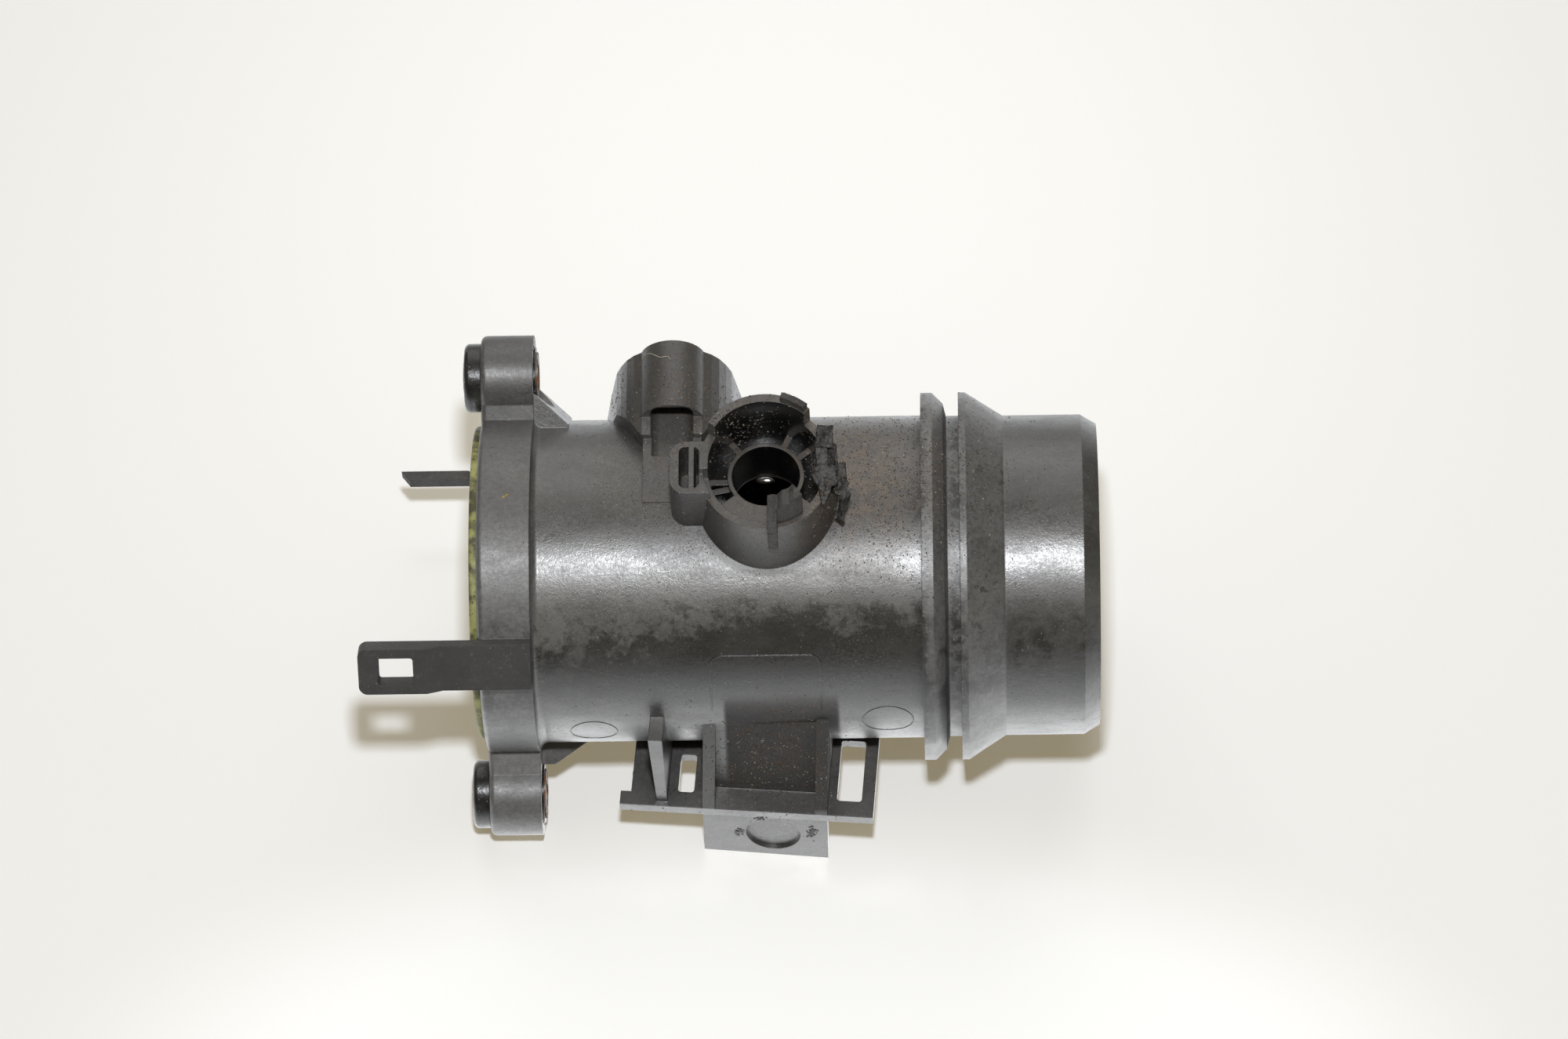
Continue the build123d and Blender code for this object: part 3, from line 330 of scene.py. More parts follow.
# grey-brown film of dust on what faces up, brown grains by the port and in the bracket pocket
right_of_port, left_of_port = (0.086, 0.004, 0.040), (0.049, 0.014, 0.042)
film = nylon.times(nylon.faces_up, nylon.cloud(60, 6, 0.30, 0.75), dry)
by_port = nylon.times(
    nylon.span(nylon.reach_from(right_of_port, (1, 1.0, 0.6)), 0.034, 0.010), dry)
by_hump = nylon.times(
    nylon.span(nylon.reach_from(left_of_port, (1, 0.7, 0.8)), 0.026, 0.008), dry)
in_pocket = nylon.times(
    nylon.span(nylon.y, -0.0385, -0.0400),
    nylon.span(nylon.x, 0.0590, 0.0600),
    nylon.span(nylon.x, 0.0880, 0.0870),
    nylon.span(nylon.z, -0.0245, -0.0235),
)
gritty = nylon.maths("MAXIMUM", nylon.maths("MAXIMUM", by_port, by_hump), in_pocket)
settled = nylon.times(by_port, nylon.cloud(420, 8, 0.40, 0.56, speckle=0.7), 0.9)
brown = nylon.times(
    dry,
    nylon.grains(2400, 0.42, 0.75),
    nylon.maths("ADD", gritty, 0.10),
    nylon.cloud(70, 4, 0.38, 0.60),
)
pale = nylon.times(
    nylon.grains(1500, 0.22, 0.10),
    nylon.maths("ADD", nylon.times(gritty, 0.5), 0.45),
    nylon.cloud(50, 3, 0.40, 0.62),
)
# painted shade: the bracket pocket is painted near black
colour = nylon.mix(nylon.times(in_pocket, 0.75), colour, oil_and_shade_black)
colour = nylon.mix(nylon.times(film, 0.16), colour, film_dust)
colour = nylon.mix(settled, colour, earth_dust)
colour = nylon.mix(nylon.times(brown, 0.95), colour, earth_grain)
colour = nylon.mix(pale, colour, pale_grain)

# oil and wet make it smoother, dust and grit rougher
roughness = by_length((0.60, 0.60), (0.41, 0.41), (0.25, 0.25), (0.36, 0.36), (0.25, 0.25))
for rubbed in (
    nylon.times(nylon.cloud(150, 8, 0.40, 0.60, (0.45, 1, 1), 0.7), 0.13),
    nylon.times(nylon.cloud(1300, 4, 0.35, 0.65, speckle=0.7), 0.14),
    nylon.times(oil_and_shade, -0.06),
):
    roughness = nylon.maths("ADD", roughness, rubbed)
for share, level in ((wet_and_shaded_inside, 0.22), (nylon.times(gritty, 0.7), 0.62), (in_pocket, 0.9)):
    roughness = nylon.mix(share, roughness, (level, level, level))
grain = nylon.maths(
    "ADD",
    nylon.times(nylon.cloud(2600, 2, 0.0, 1.0), 0.55),
    nylon.times(nylon.cloud(1000, 4, 0.2, 0.8), 0.40),
)
grain = nylon.times(grain, nylon.span(wet_and_shaded_inside, 0.0, 1.0, 1.0, 0.15))
grain = nylon.maths("ADD", grain, nylon.times(brown, 3.0))

# old oil has darkened the outer wall of the port cup, most of all round its foot
on_cup = nylon.times(
    dry,
    nylon.span(from_port_axis, cup_out_r + 0.0012, cup_out_r),
    nylon.span(nylon.z, cup_rim_z - 0.0001, 0.0400, 0.25, 1.0),
    nylon.span(nylon.z, cup_rim_z + 0.0002, cup_rim_z),
)
stained = nylon.times(on_cup, nylon.cloud(150, 6, 0.25, 0.55), 0.85)
colour = nylon.mix(stained, colour, old_oil)
roughness = nylon.mix(nylon.times(on_cup, 0.8), roughness, (0.55, 0.55, 0.55))

# black grime packed along the edges of the hose rings
by_edges = nylon.maths(
    "MAXIMUM",
    nylon.times(nylon.span(nylon.x, 0.1050, 0.1078), nylon.span(nylon.x, 0.1104, 0.1090)),
    nylon.times(nylon.span(nylon.x, 0.1146, 0.1160), nylon.span(nylon.x, 0.1200, 0.1176)),
)
grime = nylon.times(by_edges, nylon.cloud(330, 8, 0.46, 0.54, speckle=0.7))
colour = nylon.mix(nylon.times(grime, 0.95), colour, grime_black)
roughness = nylon.mix(on_arm, roughness, (0.68, 0.68, 0.68))
coat = nylon.times(
    0.45,
    nylon.span(in_pocket, 1.0, 0.0),
    nylon.span(on_arm, 1.0, 0.0),
    nylon.span(nylon.x, -0.0010, 0.0005),
)
nylon.shade(Coat_Weight=coat)
nylon.surface(colour, roughness, grain, 0.00006)
dress(["duct_housing"], nylon)

# The ring seal is moulded in olive-green rubber and pressed into the flange groove. Soot has
# blackened its upper half in streaks, and the lower half still shows its own colour.
green_rubber = Finish("green_rubber")
sooty = green_rubber.times(
    green_rubber.span(green_rubber.z, -0.012, 0.022, 0.25, 1.0), green_rubber.cloud(210, 6, 0.42, 0.56))
tone = green_rubber.mix(green_rubber.cloud(300, 4, 0.3, 0.7), (0.30, 0.29, 0.085), (0.42, 0.41, 0.16))
tone = green_rubber.mix(green_rubber.times(sooty, 0.85), tone, (0.035, 0.032, 0.022))
tone = green_rubber.mix(green_rubber.grains(1600, 0.35, 0.25), tone, (0.06, 0.045, 0.02))
green_rubber.surface(tone, 0.55, green_rubber.cloud(900, 4, 0.2, 0.8), 0.00008)
dress(["flange_seal"], green_rubber)

# Two rubber bushes carry the flange on its screws, and the sensor head sits on a seal of the same
# rubber. It is smooth and black, still shiny on the outer face and dusty round the neck.
bush_rubber = Finish("bush_rubber")
bush_rubber.shade(Specular_IOR_Level=0.7)
bloom = bush_rubber.times(bush_rubber.cloud(400, 5, 0.45, 0.7), 0.25)
tone = bush_rubber.mix(bloom, (0.010, 0.010, 0.010), (0.09, 0.085, 0.075))
tone = bush_rubber.mix(bush_rubber.grains(1500, 0.3, 0.12), tone, (0.22, 0.19, 0.15))
wear = bush_rubber.span(bush_rubber.cloud(350, 5, 0.3, 0.7), 0.0, 1.0, 0.20, 0.38)
bush_rubber.surface(tone, wear, bush_rubber.cloud(1500, 3, 0.2, 0.8), 0.00003)
dress(["upper_grommet", "lower_grommet", "sensor_seal"], bush_rubber)

# A steel sleeve is pressed through each bush. Its zinc has gone, and brown rust has bled from the
# collar on to the back of the ear.
rusty_steel = Finish("rusty_steel")
rusted = rusty_steel.cloud(420, 7, 0.36, 0.58)
tone = rusty_steel.mix(
    rusty_steel.cloud(900, 5, 0.35, 0.65), (0.10, 0.042, 0.018), (0.24, 0.105, 0.040))
tone = rusty_steel.mix(rusted, (0.32, 0.31, 0.29), tone)
rusty_steel.shade(Metallic=rusty_steel.span(rusted, 0.0, 1.0, 1.0, 0.0))
wear = rusty_steel.span(rusted, 0.0, 1.0, 0.34, 0.85)
rusty_steel.surface(tone, wear, rusty_steel.cloud(1300, 6, 0.2, 0.8), 0.00012)
dress(["upper_sleeve", "lower_sleeve"], rusty_steel)

# The plug-in sensor has a head of finer black plastic, with a cover bonded over the finger and a
# straightening grid of the same plastic clipped into the inlet.
head_plastic = Finish("head_plastic")
head_plastic.shade(Specular_IOR_Level=0.6)
dusty = head_plastic.times(head_plastic.faces_up, head_plastic.cloud(90, 6, 0.35, 0.75), 0.35)
tone = head_plastic.mix(
    head_plastic.cloud(70, 4, 0.3, 0.7), (0.020, 0.020, 0.021), (0.036, 0.035, 0.034))
tone = head_plastic.mix(dusty, tone, (0.16, 0.14, 0.115))
tone = head_plastic.mix(head_plastic.grains(1900, 0.3, 0.15), tone, (0.16, 0.11, 0.07))
wear = head_plastic.span(head_plastic.cloud(200, 5, 0.35, 0.65), 0.0, 1.0, 0.36, 0.50)
head_plastic.surface(tone, wear, head_plastic.cloud(3000, 2, 0.0, 1.0), 0.00004)
dress(["sensor_head", "finger_cover", "inlet_grid"], head_plastic)

# Two zinc-plated screws hold the sensor head, and a spring-steel ring holds the grid. All three
# are dull, with a few brown spots where the plating is thin.
plated_steel = Finish("plated_steel")
dull = plated_steel.cloud(500, 6, 0.35, 0.65)
spotted = plated_steel.times(plated_steel.cloud(260, 5, 0.56, 0.66), 0.7)
tone = plated_steel.mix(dull, (0.62, 0.60, 0.56), (0.34, 0.32, 0.29))
tone = plated_steel.mix(spotted, tone, (0.16, 0.085, 0.04))
plated_steel.shade(Metallic=1.0)
wear = plated_steel.span(dull, 0.0, 1.0, 0.26, 0.50)
plated_steel.surface(tone, wear, plated_steel.cloud(2200, 4, 0.2, 0.8), 0.00004)
dress(["upper_screw", "lower_screw", "grid_retainer"], plated_steel)

# The plug's five pins are stamped from tinned brass and stand in the shroud. The tin is a little
# tarnished, so that the brass shows through it.
tinned_brass = Finish("tinned_brass")
tarnish = tinned_brass.cloud(600, 5, 0.4, 0.6)
tone = tinned_brass.mix(tarnish, (0.78, 0.70, 0.50), (0.50, 0.40, 0.24))
tinned_brass.shade(Metallic=1.0)
tinned_brass.surface(tone, tinned_brass.span(tarnish, 0.0, 1.0, 0.18, 0.36), tarnish, 0.00002)
dress(["pin_1", "pin_2", "pin_3", "pin_4", "pin_5"], tinned_brass)

# The finger holds a green glass-fibre board with a white ceramic film element let into it. A bead
# dipped in brown resin stands beside it and reads the temperature of the air.
green_laminate = Finish("green_laminate")
weave = green_laminate.cloud(900, 3, 0.4, 0.6, (1, 1, 0.2))
tone = green_laminate.mix(weave, (0.018, 0.105, 0.045), (0.030, 0.150, 0.066))
green_laminate.surface(tone, green_laminate.span(weave, 0.0, 1.0, 0.26, 0.36), weave, 0.00003)
dress(["circuit_board"], green_laminate)
white_ceramic = Finish("white_ceramic")
speckle = white_ceramic.cloud(1800, 4, 0.35, 0.65)
tone = white_ceramic.mix(speckle, (0.74, 0.73, 0.69), (0.62, 0.60, 0.55))
white_ceramic.surface(tone, white_ceramic.span(speckle, 0.0, 1.0, 0.40, 0.55), speckle, 0.00003)
dress(["hot_film"], white_ceramic)
brown_resin = Finish("brown_resin")
ripple = brown_resin.cloud(700, 3, 0.3, 0.7)
tone = brown_resin.mix(ripple, (0.085, 0.034, 0.014), (0.150, 0.065, 0.028))
brown_resin.surface(tone, brown_resin.span(ripple, 0.0, 1.0, 0.16, 0.28), ripple, 0.00008)
dress(["temperature_bead"], brown_resin)

# Pieces of the breather fitting that broke off in the port. Its plastic is a paler, drier grey, matt along
# the torn edges, and darkened in patches on the right, partly by oil and partly as painted shade among the
# shards.
grey_plastic = Finish("grey_plastic")
grey_plastic.shade(Specular_IOR_Level=0.4)
stress = grey_plastic.cloud(260, 6, 0.40, 0.70)
# dark patches on the right-hand shards: oil smudges mixed with painted shade
smudged_and_shaded = grey_plastic.times(
    grey_plastic.cloud(420, 7, 0.46, 0.56, speckle=0.65),
    grey_plastic.span(grey_plastic.x, 0.0790, 0.0820, 0.25, 0.9),
)
tone = grey_plastic.mix(stress, (0.060, 0.059, 0.056), (0.105, 0.102, 0.096))
tone = grey_plastic.mix(smudged_and_shaded, tone, (0.014, 0.012, 0.010))
tone = grey_plastic.mix(grey_plastic.grains(2300, 0.36, 0.22), tone, (0.20, 0.13, 0.08))
wear = grey_plastic.span(stress, 0.0, 1.0, 0.52, 0.66)
grey_plastic.surface(tone, wear, grey_plastic.cloud(1700, 6, 0.2, 0.8), 0.00006)
dress(["front_remnant", "right_remnant", "rear_remnant"], grey_plastic)


# Two ejector pins of the mould have left round marks low on the front of the tube. Each is a
# narrow ring of raised flash, about a tenth of a millimetre proud of the wall.
def only(piece):
    bpy.ops.object.select_all(action="DESELECT")
    piece.select_set(True)
    bpy.context.view_layer.objects.active = piece


def face_outwards(piece):
    only(piece)
    bpy.ops.object.mode_set(mode="EDIT")
    bpy.ops.mesh.select_all(action="SELECT")
    bpy.ops.mesh.normals_make_consistent(inside=False)
    bpy.ops.object.mode_set(mode="OBJECT")


def finished(piece, name, finish):
    piece.name = name
    piece.data.materials.clear()
    piece.data.materials.append(finish.material)
    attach(piece, "root")


def lay_on_duct(piece, lift, thickness):
    only(piece)
    bpy.ops.object.transform_apply(location=True, rotation=True, scale=True)
    wrap = piece.modifiers.new("wrap", "SHRINKWRAP")
    wrap.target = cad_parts["duct_housing"]
    wrap.wrap_method = "NEAREST_SURFACEPOINT"
    wrap.wrap_mode = "ABOVE_SURFACE"
    wrap.offset = lift
    bpy.ops.object.modifier_apply(modifier="wrap")
    wall = piece.modifiers.new("wall", "SOLIDIFY")
    wall.thickness = thickness
    wall.offset = 0.0
    bpy.ops.object.modifier_apply(modifier="wall")
    face_outwards(piece)


duct_r = 0.0400
ring_w, ring_lift, ring_wall = 0.00035, 0.00005, 0.00012
for name, place_x, turn, ring_r in (
    ("ejector_mark_inlet", 0.0270, 98.0, 0.0059),
    ("ejector_mark_outlet", 0.0996, 91.3, 0.0064),
):
    round_tube = math.radians(turn)
    place = (place_x, -duct_r * math.sin(round_tube), duct_r * math.cos(round_tube))
    bpy.ops.object.select_all(action="DESELECT")
    bpy.ops.mesh.primitive_circle_add(
        vertices=96, radius=ring_r, location=place, rotation=(round_tube, 0, 0))
    mark = bpy.context.object
    bpy.ops.object.mode_set(mode="EDIT")
    bpy.ops.mesh.select_all(action="SELECT")
    bpy.ops.mesh.extrude_edges_move()
    bpy.ops.transform.resize(value=(1 - ring_w / ring_r,) * 3, center_override=place)
    bpy.ops.object.mode_set(mode="OBJECT")
    lay_on_duct(mark, ring_lift, ring_wall)
    finished(mark, name, nylon)

# A raised line on the tube frames the panel above the bracket, with rounded upper corners. It is
# the edge of an insert in the mould.
panel_near_x, panel_far_x = 0.0563, 0.0836
panel_top, panel_foot = math.radians(57.0), math.radians(84.0)
panel_mid = (panel_top + panel_foot) / 2
panel_corner_r, line_w, line_lift, line_wall = 0.0030, 0.00040, 0.00007, 0.00018
panel_w = panel_far_x - panel_near_x
panel_h = duct_r * (panel_foot - panel_top)
panel_x = (panel_near_x + panel_far_x) / 2
place = (panel_x, -duct_r * math.sin(panel_mid), duct_r * math.cos(panel_mid))
bpy.ops.object.select_all(action="DESELECT")
bpy.ops.mesh.primitive_plane_add(size=1.0, location=place, rotation=(panel_mid, 0, 0))
line = bpy.context.object
line.scale = (panel_w, panel_h, 1)
bpy.ops.object.transform_apply(location=False, rotation=False, scale=True)
upper = [v.index for v in line.data.vertices if v.co.y > 0]
bpy.ops.object.mode_set(mode="EDIT")
bpy.ops.mesh.select_all(action="DESELECT")
bpy.ops.mesh.select_mode(type="VERT")
bpy.ops.object.mode_set(mode="OBJECT")
for index in upper:
    line.data.vertices[index].select = True
bpy.ops.object.mode_set(mode="EDIT")
bpy.ops.mesh.bevel(offset=panel_corner_r, segments=6, affect="VERTICES")
bpy.ops.mesh.select_all(action="SELECT")
bpy.ops.mesh.inset(thickness=line_w)
bpy.ops.mesh.delete(type="FACE")
bpy.ops.object.mode_set(mode="OBJECT")
foot = min(line.data.polygons, key=lambda face: face.center.y)
foot.select = True
bpy.ops.object.mode_set(mode="EDIT")
bpy.ops.mesh.select_mode(type="FACE")
bpy.ops.mesh.delete(type="FACE")
bpy.ops.mesh.select_all(action="SELECT")
bpy.ops.mesh.subdivide(number_cuts=24)
bpy.ops.mesh.select_mode(type="VERT")
bpy.ops.object.mode_set(mode="OBJECT")
lay_on_duct(line, line_lift, line_wall)
finished(line, "panel_line", nylon)

# Three pieces of the broken breather fitting are still in the port. Tearing has left their faces
# stringy and their edges ragged, and on the right the plastic has split into a bunch of shards.
def roughen(piece, coarse, fine):
    only(piece)
    bpy.ops.object.transform_apply(location=True, rotation=True, scale=True)
    piece.data.remesh_voxel_size = mesh_cell
    bpy.ops.object.voxel_remesh()
    for scale, depth in ((0.0016, coarse), (0.0005, fine)):
        ripple = bpy.data.textures.new("torn", "CLOUDS")
        ripple.noise_scale = scale
        ripple.noise_depth = 3
        torn = piece.modifiers.new("torn", "DISPLACE")
        torn.texture = ripple
        torn.texture_coords = "LOCAL"
        torn.strength = depth
        torn.mid_level = 0.5
        bpy.ops.object.modifier_apply(modifier="torn")
    face_outwards(piece)
    bpy.ops.object.shade_smooth_by_angle(angle=math.radians(24))


mesh_cell = 0.00012
merge_gap = 0.00001
for node, name in (("front_remnant", "front_torn_piece"), ("rear_remnant", "rear_torn_piece")):
    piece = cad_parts[node].copy()
    piece.data = piece.data.copy()
    bpy.context.collection.objects.link(piece)
    only(piece)
    bpy.ops.object.mode_set(mode="EDIT")
    bpy.ops.mesh.select_all(action="SELECT")
    bpy.ops.mesh.remove_doubles(threshold=merge_gap)
    bpy.ops.object.mode_set(mode="OBJECT")
    roughen(piece, coarse=0.0001, fine=0.00022)
    finished(piece, name, grey_plastic)
    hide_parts(node)

shards = []
for size_mm, place_mm, turn_deg, taper in (
    ((3.6, 5.4, 1.0), (85.4, 6.8, 57.4), (18, -8, -8), 1.25),
    ((2.9, 6.0, 1.8), (84.7, 2.8, 54.8), (22, 0, 4), 0.9),
    ((1.8, 7.6, 2.4), (87.1, 2.6, 53.8), (14, -30, -3), 0.8),
    ((5.2, 1.3, 1.4), (85.6, -0.4, 53.8), (10, 0, 4), 1.0),
    ((5.8, 4.6, 1.5), (85.6, -2.6, 53.2), (22, -12, 18), 0.8),
    ((3.4, 5.6, 1.7), (85.2, -6.6, 52.6), (14, 8, -4), 0.25),
    ((3.0, 4.2, 0.8), (89.2, 1.4, 49.6), (28, -14, 6), 0.7),
    ((3.6, 4.0, 1.4), (88.9, -2.6, 49.2), (20, 34, -12), 0.8),
    ((2.4, 6.0, 1.2), (89.6, -6.2, 47.4), (16, 44, -8), 0.2),
    ((2.6, 2.6, 0.7), (89.0, -9.0, 46.4), (34, 10, 40), 0.3),
):
    bpy.ops.object.select_all(action="DESELECT")
    bpy.ops.mesh.primitive_cube_add(
        size=0.001, location=Vector(place_mm) / 1000, rotation=[math.radians(a) for a in turn_deg])
    shard = bpy.context.object
    shard.scale = size_mm
    bpy.ops.object.transform_apply(location=False, rotation=False, scale=True)
    for corner in shard.data.vertices:
        if corner.co.y < 0:
            corner.co.x *= taper
    bpy.ops.object.mode_set(mode="EDIT")
    bpy.ops.mesh.select_all(action="SELECT")
    bpy.ops.mesh.subdivide(number_cuts=4)
    bpy.ops.transform.vertex_random(offset=0.00030, seed=len(shards))
    bpy.ops.object.mode_set(mode="OBJECT")
    shards.append(shard)
only(shards[0])
for shard in shards:
    shard.select_set(True)
bpy.ops.object.join()
shard = bpy.context.object
roughen(shard, coarse=0.0003, fine=0.0003)
finished(shard, "right_torn_piece", grey_plastic)
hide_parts("right_remnant")

# A film of oil has run down inside the vent pipe and gathered in a shallow drop on its lower lip.
# The drop is tilted with the wall that it clings to.
wet_oil = Finish("wet_oil")
wet_oil.shade(IOR=1.5)
thick = wet_oil.cloud(900, 3, 0.3, 0.7)
tone = wet_oil.mix(thick, (0.010, 0.008, 0.005), (0.020, 0.015, 0.008))
wet_oil.surface(tone, wet_oil.span(thick, 0.0, 1.0, 0.10, 0.14), thick, 0.00001)
drop_place = (0.0704, 0.0072, 0.0360)
drop_tilt = math.radians(24.5)
drop_half_mm = (2.3, 0.9, 0.22)
bpy.ops.object.select_all(action="DESELECT")
bpy.ops.mesh.primitive_uv_sphere_add(
    segments=48, ring_count=24, radius=0.001, location=drop_place, rotation=(drop_tilt, 0, 0))
drop = bpy.context.object
drop.scale = drop_half_mm
bpy.ops.object.transform_apply(location=True, rotation=True, scale=True)
bpy.ops.object.shade_smooth()
finished(drop, "oil_drop", wet_oil)

# Coarse road grit lies loose on the housing: thick round the vent port and in the bracket pocket,
# thin elsewhere. The grains are brown, rust-red and tan, and each is laid where a line of sight
# meets the plastic.
def seen_at(across_px, down_px):
    across = right * (across_px - view_w / 2) * metres_per_pixel
    above = up * (view_h / 2 - down_px) * metres_per_pixel
    start = aim - look * distance
    ray = (aim + across + above - start).normalized()
    hit, place, facing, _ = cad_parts["duct_housing"].ray_cast(start, ray)
    return (place, facing) if hit else None


def scattered(middle_px, spread_px, count):
    spots = []
    while len(spots) < count:
        spot = seen_at(chance.gauss(middle_px[0], spread_px[0]), chance.gauss(middle_px[1], spread_px[1]))
        if spot and math.hypot(spot[0].x - port_x, spot[0].y) > port_pipe_r:
            spots.append(spot)
    return spots


def lay_grains(name, spots, size, flat, finish, lot):
    bpy.ops.object.select_all(action="DESELECT")
    bpy.ops.mesh.primitive_ico_sphere_add(subdivisions=1, radius=1.0)
    pattern = bpy.context.object
    bpy.ops.object.mode_set(mode="EDIT")
    bpy.ops.mesh.select_all(action="SELECT")
    bpy.ops.transform.vertex_random(offset=0.28, seed=lot)
    bpy.ops.object.mode_set(mode="OBJECT")
    grains = []
    for place, facing in spots:
        grain = pattern.copy()
        grain.data = pattern.data.copy()
        bpy.context.collection.objects.link(grain)
        wide = size * chance.uniform(0.5, 1.0)
        stretch = Matrix.Diagonal((wide, wide * chance.uniform(0.6, 1.0), wide * flat, 1.0))
        spin = Matrix.Rotation(chance.uniform(0.0, math.tau), 4, "Z")
        lie = facing.to_track_quat("Z", "Y").to_matrix().to_4x4()
        grain.matrix_world = Matrix.Translation(place) @ lie @ spin @ stretch
        grains.append(grain)
    bpy.data.objects.remove(pattern)
    only(grains[0])
    for grain in grains:
        grain.select_set(True)
    bpy.ops.object.join()
    heap = bpy.context.object
    bpy.ops.object.transform_apply(location=True, rotation=True, scale=True)
    finished(heap, name, finish)


chance = random.Random(9392)
port_pipe_r = 0.0090
grain_flat, flake_flat, dirt_flat = 0.6, 0.35, 0.25
road_grit = Finish("road_grit")
road_grit.shade(Specular_IOR_Level=0.3)
kind = road_grit.cloud(1400, 2, 0.35, 0.65)
tone = road_grit.mix(kind, (0.050, 0.040, 0.031), (0.230, 0.185, 0.140))
tone = road_grit.mix(road_grit.cloud(900, 2, 0.56, 0.60), tone, (0.50, 0.46, 0.39))
tone = road_grit.mix(road_grit.cloud(1100, 2, 0.60, 0.62), tone, (0.17, 0.070, 0.030))
road_grit.surface(tone, road_grit.span(kind, 0.0, 1.0, 0.75, 0.95), kind, 0.00005)
for name, middle_px, spread_px, count, size in (
    ("grit_right_of_port", (1165, 600), (60, 66), 1500, 0.00026),
    ("grit_under_port", (1010, 690), (85, 34), 420, 0.00020),
    ("grit_on_cup", (930, 540), (30, 24), 280, 0.00030),
    ("grit_by_shards", (1050, 590), (22, 48), 300, 0.00030),
    ("grit_left_of_port", (850, 600), (60, 50), 420, 0.00022),
    ("grit_in_pocket", (978, 968), (46, 30), 800, 0.00026),
    ("grit_on_hump", (860, 520), (55, 40), 360, 0.00022),
    ("grit_all_over", (1000, 720), (280, 170), 900, 0.00019),
):
    spots = scattered(middle_px, spread_px, count)
    lay_grains(name, spots, size, grain_flat, road_grit, count)

# Rust from the two steel sleeves has flaked on to the right-hand faces of the ears, in a ring
# round each collar. The flakes are thin and flat.
flakes, flake_size = 90, 0.00034
collar_r, flake_reach_r = 0.0065, 0.0102
clear_of_ear = 0.03
for name, sleeve in (("rust_flakes_upper", "upper_sleeve"), ("rust_flakes_lower", "lower_sleeve")):
    low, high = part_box(sleeve)
    mid_y, mid_z = (low[1] + high[1]) / 2, (low[2] + high[2]) / 2
    spots = []
    while len(spots) < flakes:
        away, way = chance.uniform(collar_r, flake_reach_r), chance.uniform(0.0, math.tau)
        start = Vector(
            (high[0] + clear_of_ear, mid_y + away * math.cos(way), mid_z + away * math.sin(way)))
        hit, place, facing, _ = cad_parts["duct_housing"].ray_cast(start, Vector((-1, 0, 0)))
        if hit:
            spots.append((place, facing))
    lay_grains(name, spots, flake_size, flake_flat, rusty_steel, 7)

# Oily dirt has caked on the bracket's tab in three small patches, and one tan fleck of paint sits
# on the flange, five flat grains in a row.
for name, middle_px, spread_px, count, size in (
    ("tab_dirt_left", (943, 1061), (3.2, 2.6), 34, 0.00062),
    ("tab_dirt_middle", (970, 1044), (4.5, 1.6), 26, 0.00050),
    ("tab_dirt_right", (1036, 1062), (3.0, 3.6), 42, 0.00060),
):
    spots = scattered(middle_px, spread_px, count)
    lay_grains(name, spots, size, dirt_flat, wet_oil, 3)
tan_paint = Finish("tan_paint")
worn = tan_paint.cloud(1500, 3, 0.4, 0.6)
tone = tan_paint.mix(worn, (0.50, 0.36, 0.10), (0.34, 0.25, 0.09))
tan_paint.surface(tone, tan_paint.span(worn, 0.0, 1.0, 0.5, 0.7), worn, 0.00002)
fleck_px, fleck_slope = (645, 632), -0.6
fleck_size, fleck_flat = 0.00050, 0.20
flecks = [
    seen_at(fleck_px[0] + step, fleck_px[1] + fleck_slope * step) for step in (-3.0, -1.5, 0.0, 1.5, 3.0)]
lay_grains("tan_fleck", flecks, fleck_size, fleck_flat, tan_paint, 5)

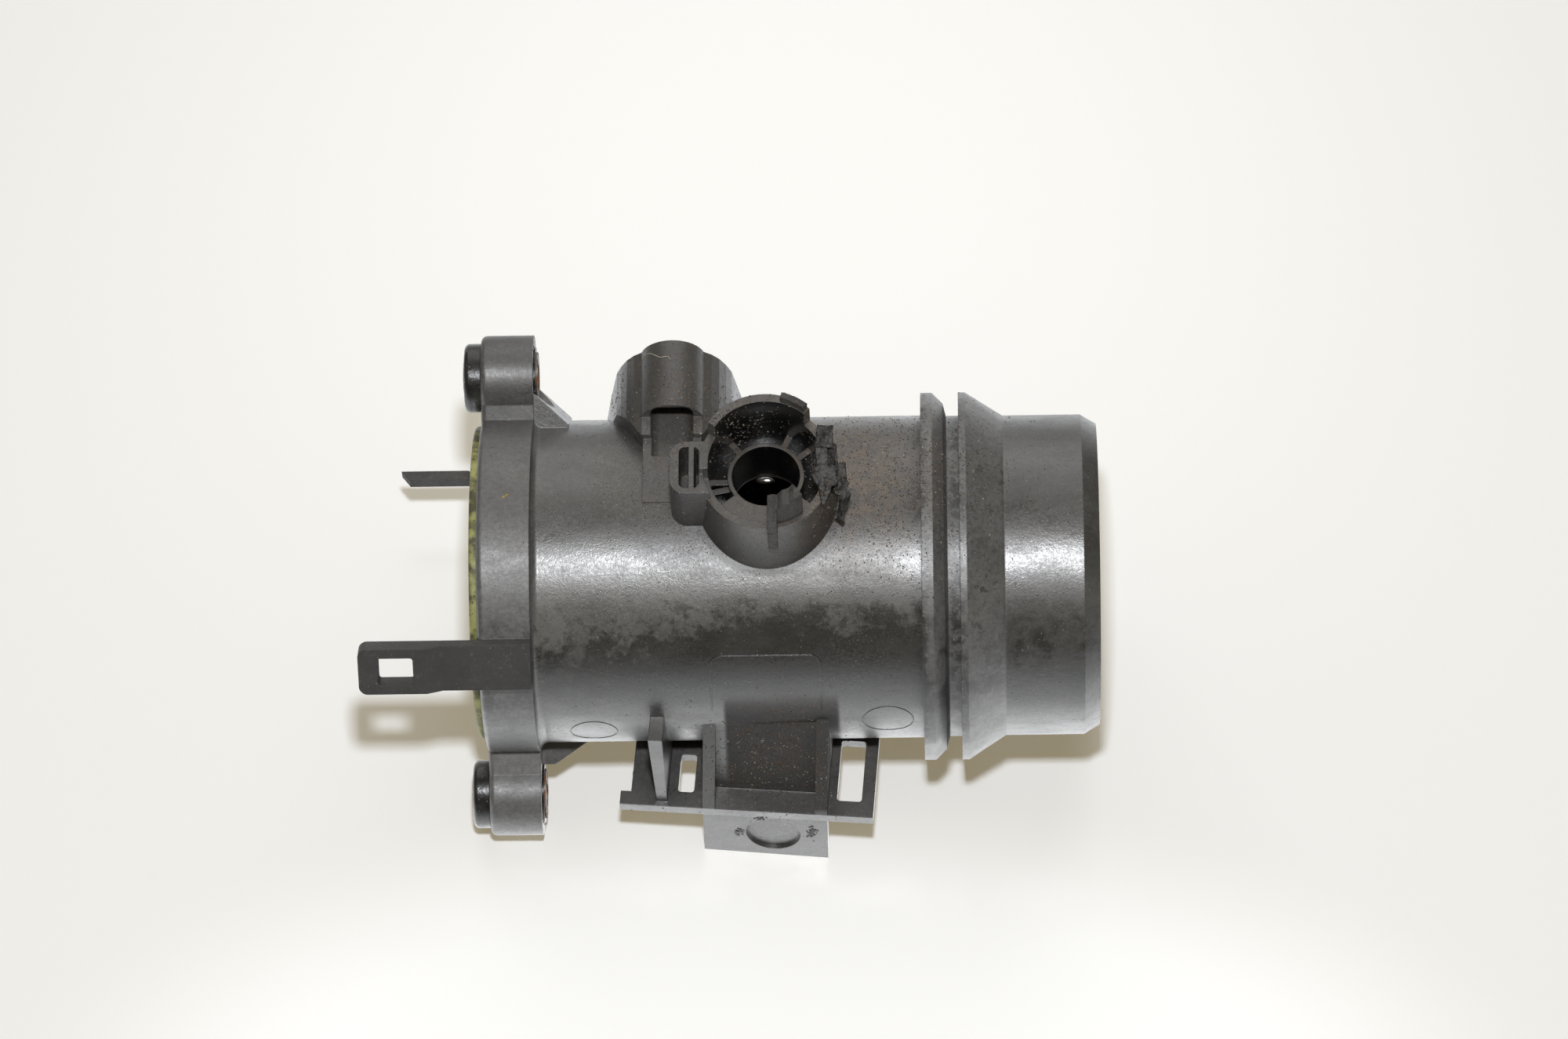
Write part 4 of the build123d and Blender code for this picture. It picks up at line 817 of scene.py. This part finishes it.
# A wisp of pale lint has caught on top of the sensor hump. It is one fibre, a quarter of a
# millimetre thick, that curls along the plastic.
pale_lint = Finish("pale_lint")
fuzz = pale_lint.cloud(2500, 2, 0.3, 0.7)
tone = pale_lint.mix(fuzz, (0.60, 0.55, 0.43), (0.44, 0.40, 0.31))
pale_lint.surface(tone, pale_lint.span(fuzz, 0.0, 1.0, 0.7, 0.9), fuzz, 0.00001)
lint_r = 0.00012
lint_px = ((820, 459), (823, 452), (831, 450), (838, 455), (846, 457), (852, 453), (855, 459))
wisp = bpy.data.curves.new("lint", "CURVE")
wisp.dimensions = "3D"
wisp.bevel_depth = lint_r
wisp.bevel_resolution = 1
wisp.resolution_u = 6
run = wisp.splines.new("NURBS")
laid = [spot for spot in (seen_at(across, down) for across, down in lint_px) if spot]
run.points.add(len(laid) - 1)
for knot, (place, facing) in zip(run.points, laid):
    knot.co = (*(place + facing * lint_r), 1.0)
run.use_endpoint_u = True
lint = bpy.data.objects.new("lint_wisp", wisp)
bpy.context.collection.objects.link(lint)
only(lint)
bpy.ops.object.convert(target="MESH")
finished(bpy.context.object, "lint_wisp", pale_lint)

# The plug shroud has a ramped latch nib on its upper face and two guide ribs beside it, which key
# the harness plug. They are moulded in one with the head, and sink a little into its wall.
head_low, head_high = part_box("sensor_head")
shroud_far_y = head_high[1]
sunk = 0.0002
shroud_mid_x = (head_low[0] + head_high[0]) / 2
for name, across, width, proud, length, back in (
    ("latch_nib", 0.0, 0.0042, 0.0014, 0.0030, 0.0022),
    ("guide_rib_left", -0.0052, 0.0012, 0.0009, 0.0095, 0.0010),
    ("guide_rib_right", 0.0052, 0.0012, 0.0009, 0.0095, 0.0010),
):
    middle = Vector((shroud_mid_x + across, shroud_far_y - back - length / 2, 0.0))
    above = middle + Vector((0, 0, 0.03))
    hit, top, facing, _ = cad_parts["sensor_head"].ray_cast(above, Vector((0, 0, -1)))
    bpy.ops.object.select_all(action="DESELECT")
    bpy.ops.mesh.primitive_cube_add(size=1.0, location=top + Vector((0, 0, proud / 2 - sunk)))
    rib = bpy.context.object
    rib.scale = (width, length, proud + 2 * sunk)
    bpy.ops.object.transform_apply(location=True, rotation=True, scale=True)
    for corner in rib.data.vertices:
        if name == "latch_nib" and corner.co.z > top.z and corner.co.y > middle.y:
            corner.co.z = top.z + sunk
    edge = rib.modifiers.new("edge", "BEVEL")
    edge.width = 0.00018
    edge.segments = 3
    bpy.ops.object.modifier_apply(modifier="edge")
    face_outwards(rib)
    finished(rib, name, head_plastic)
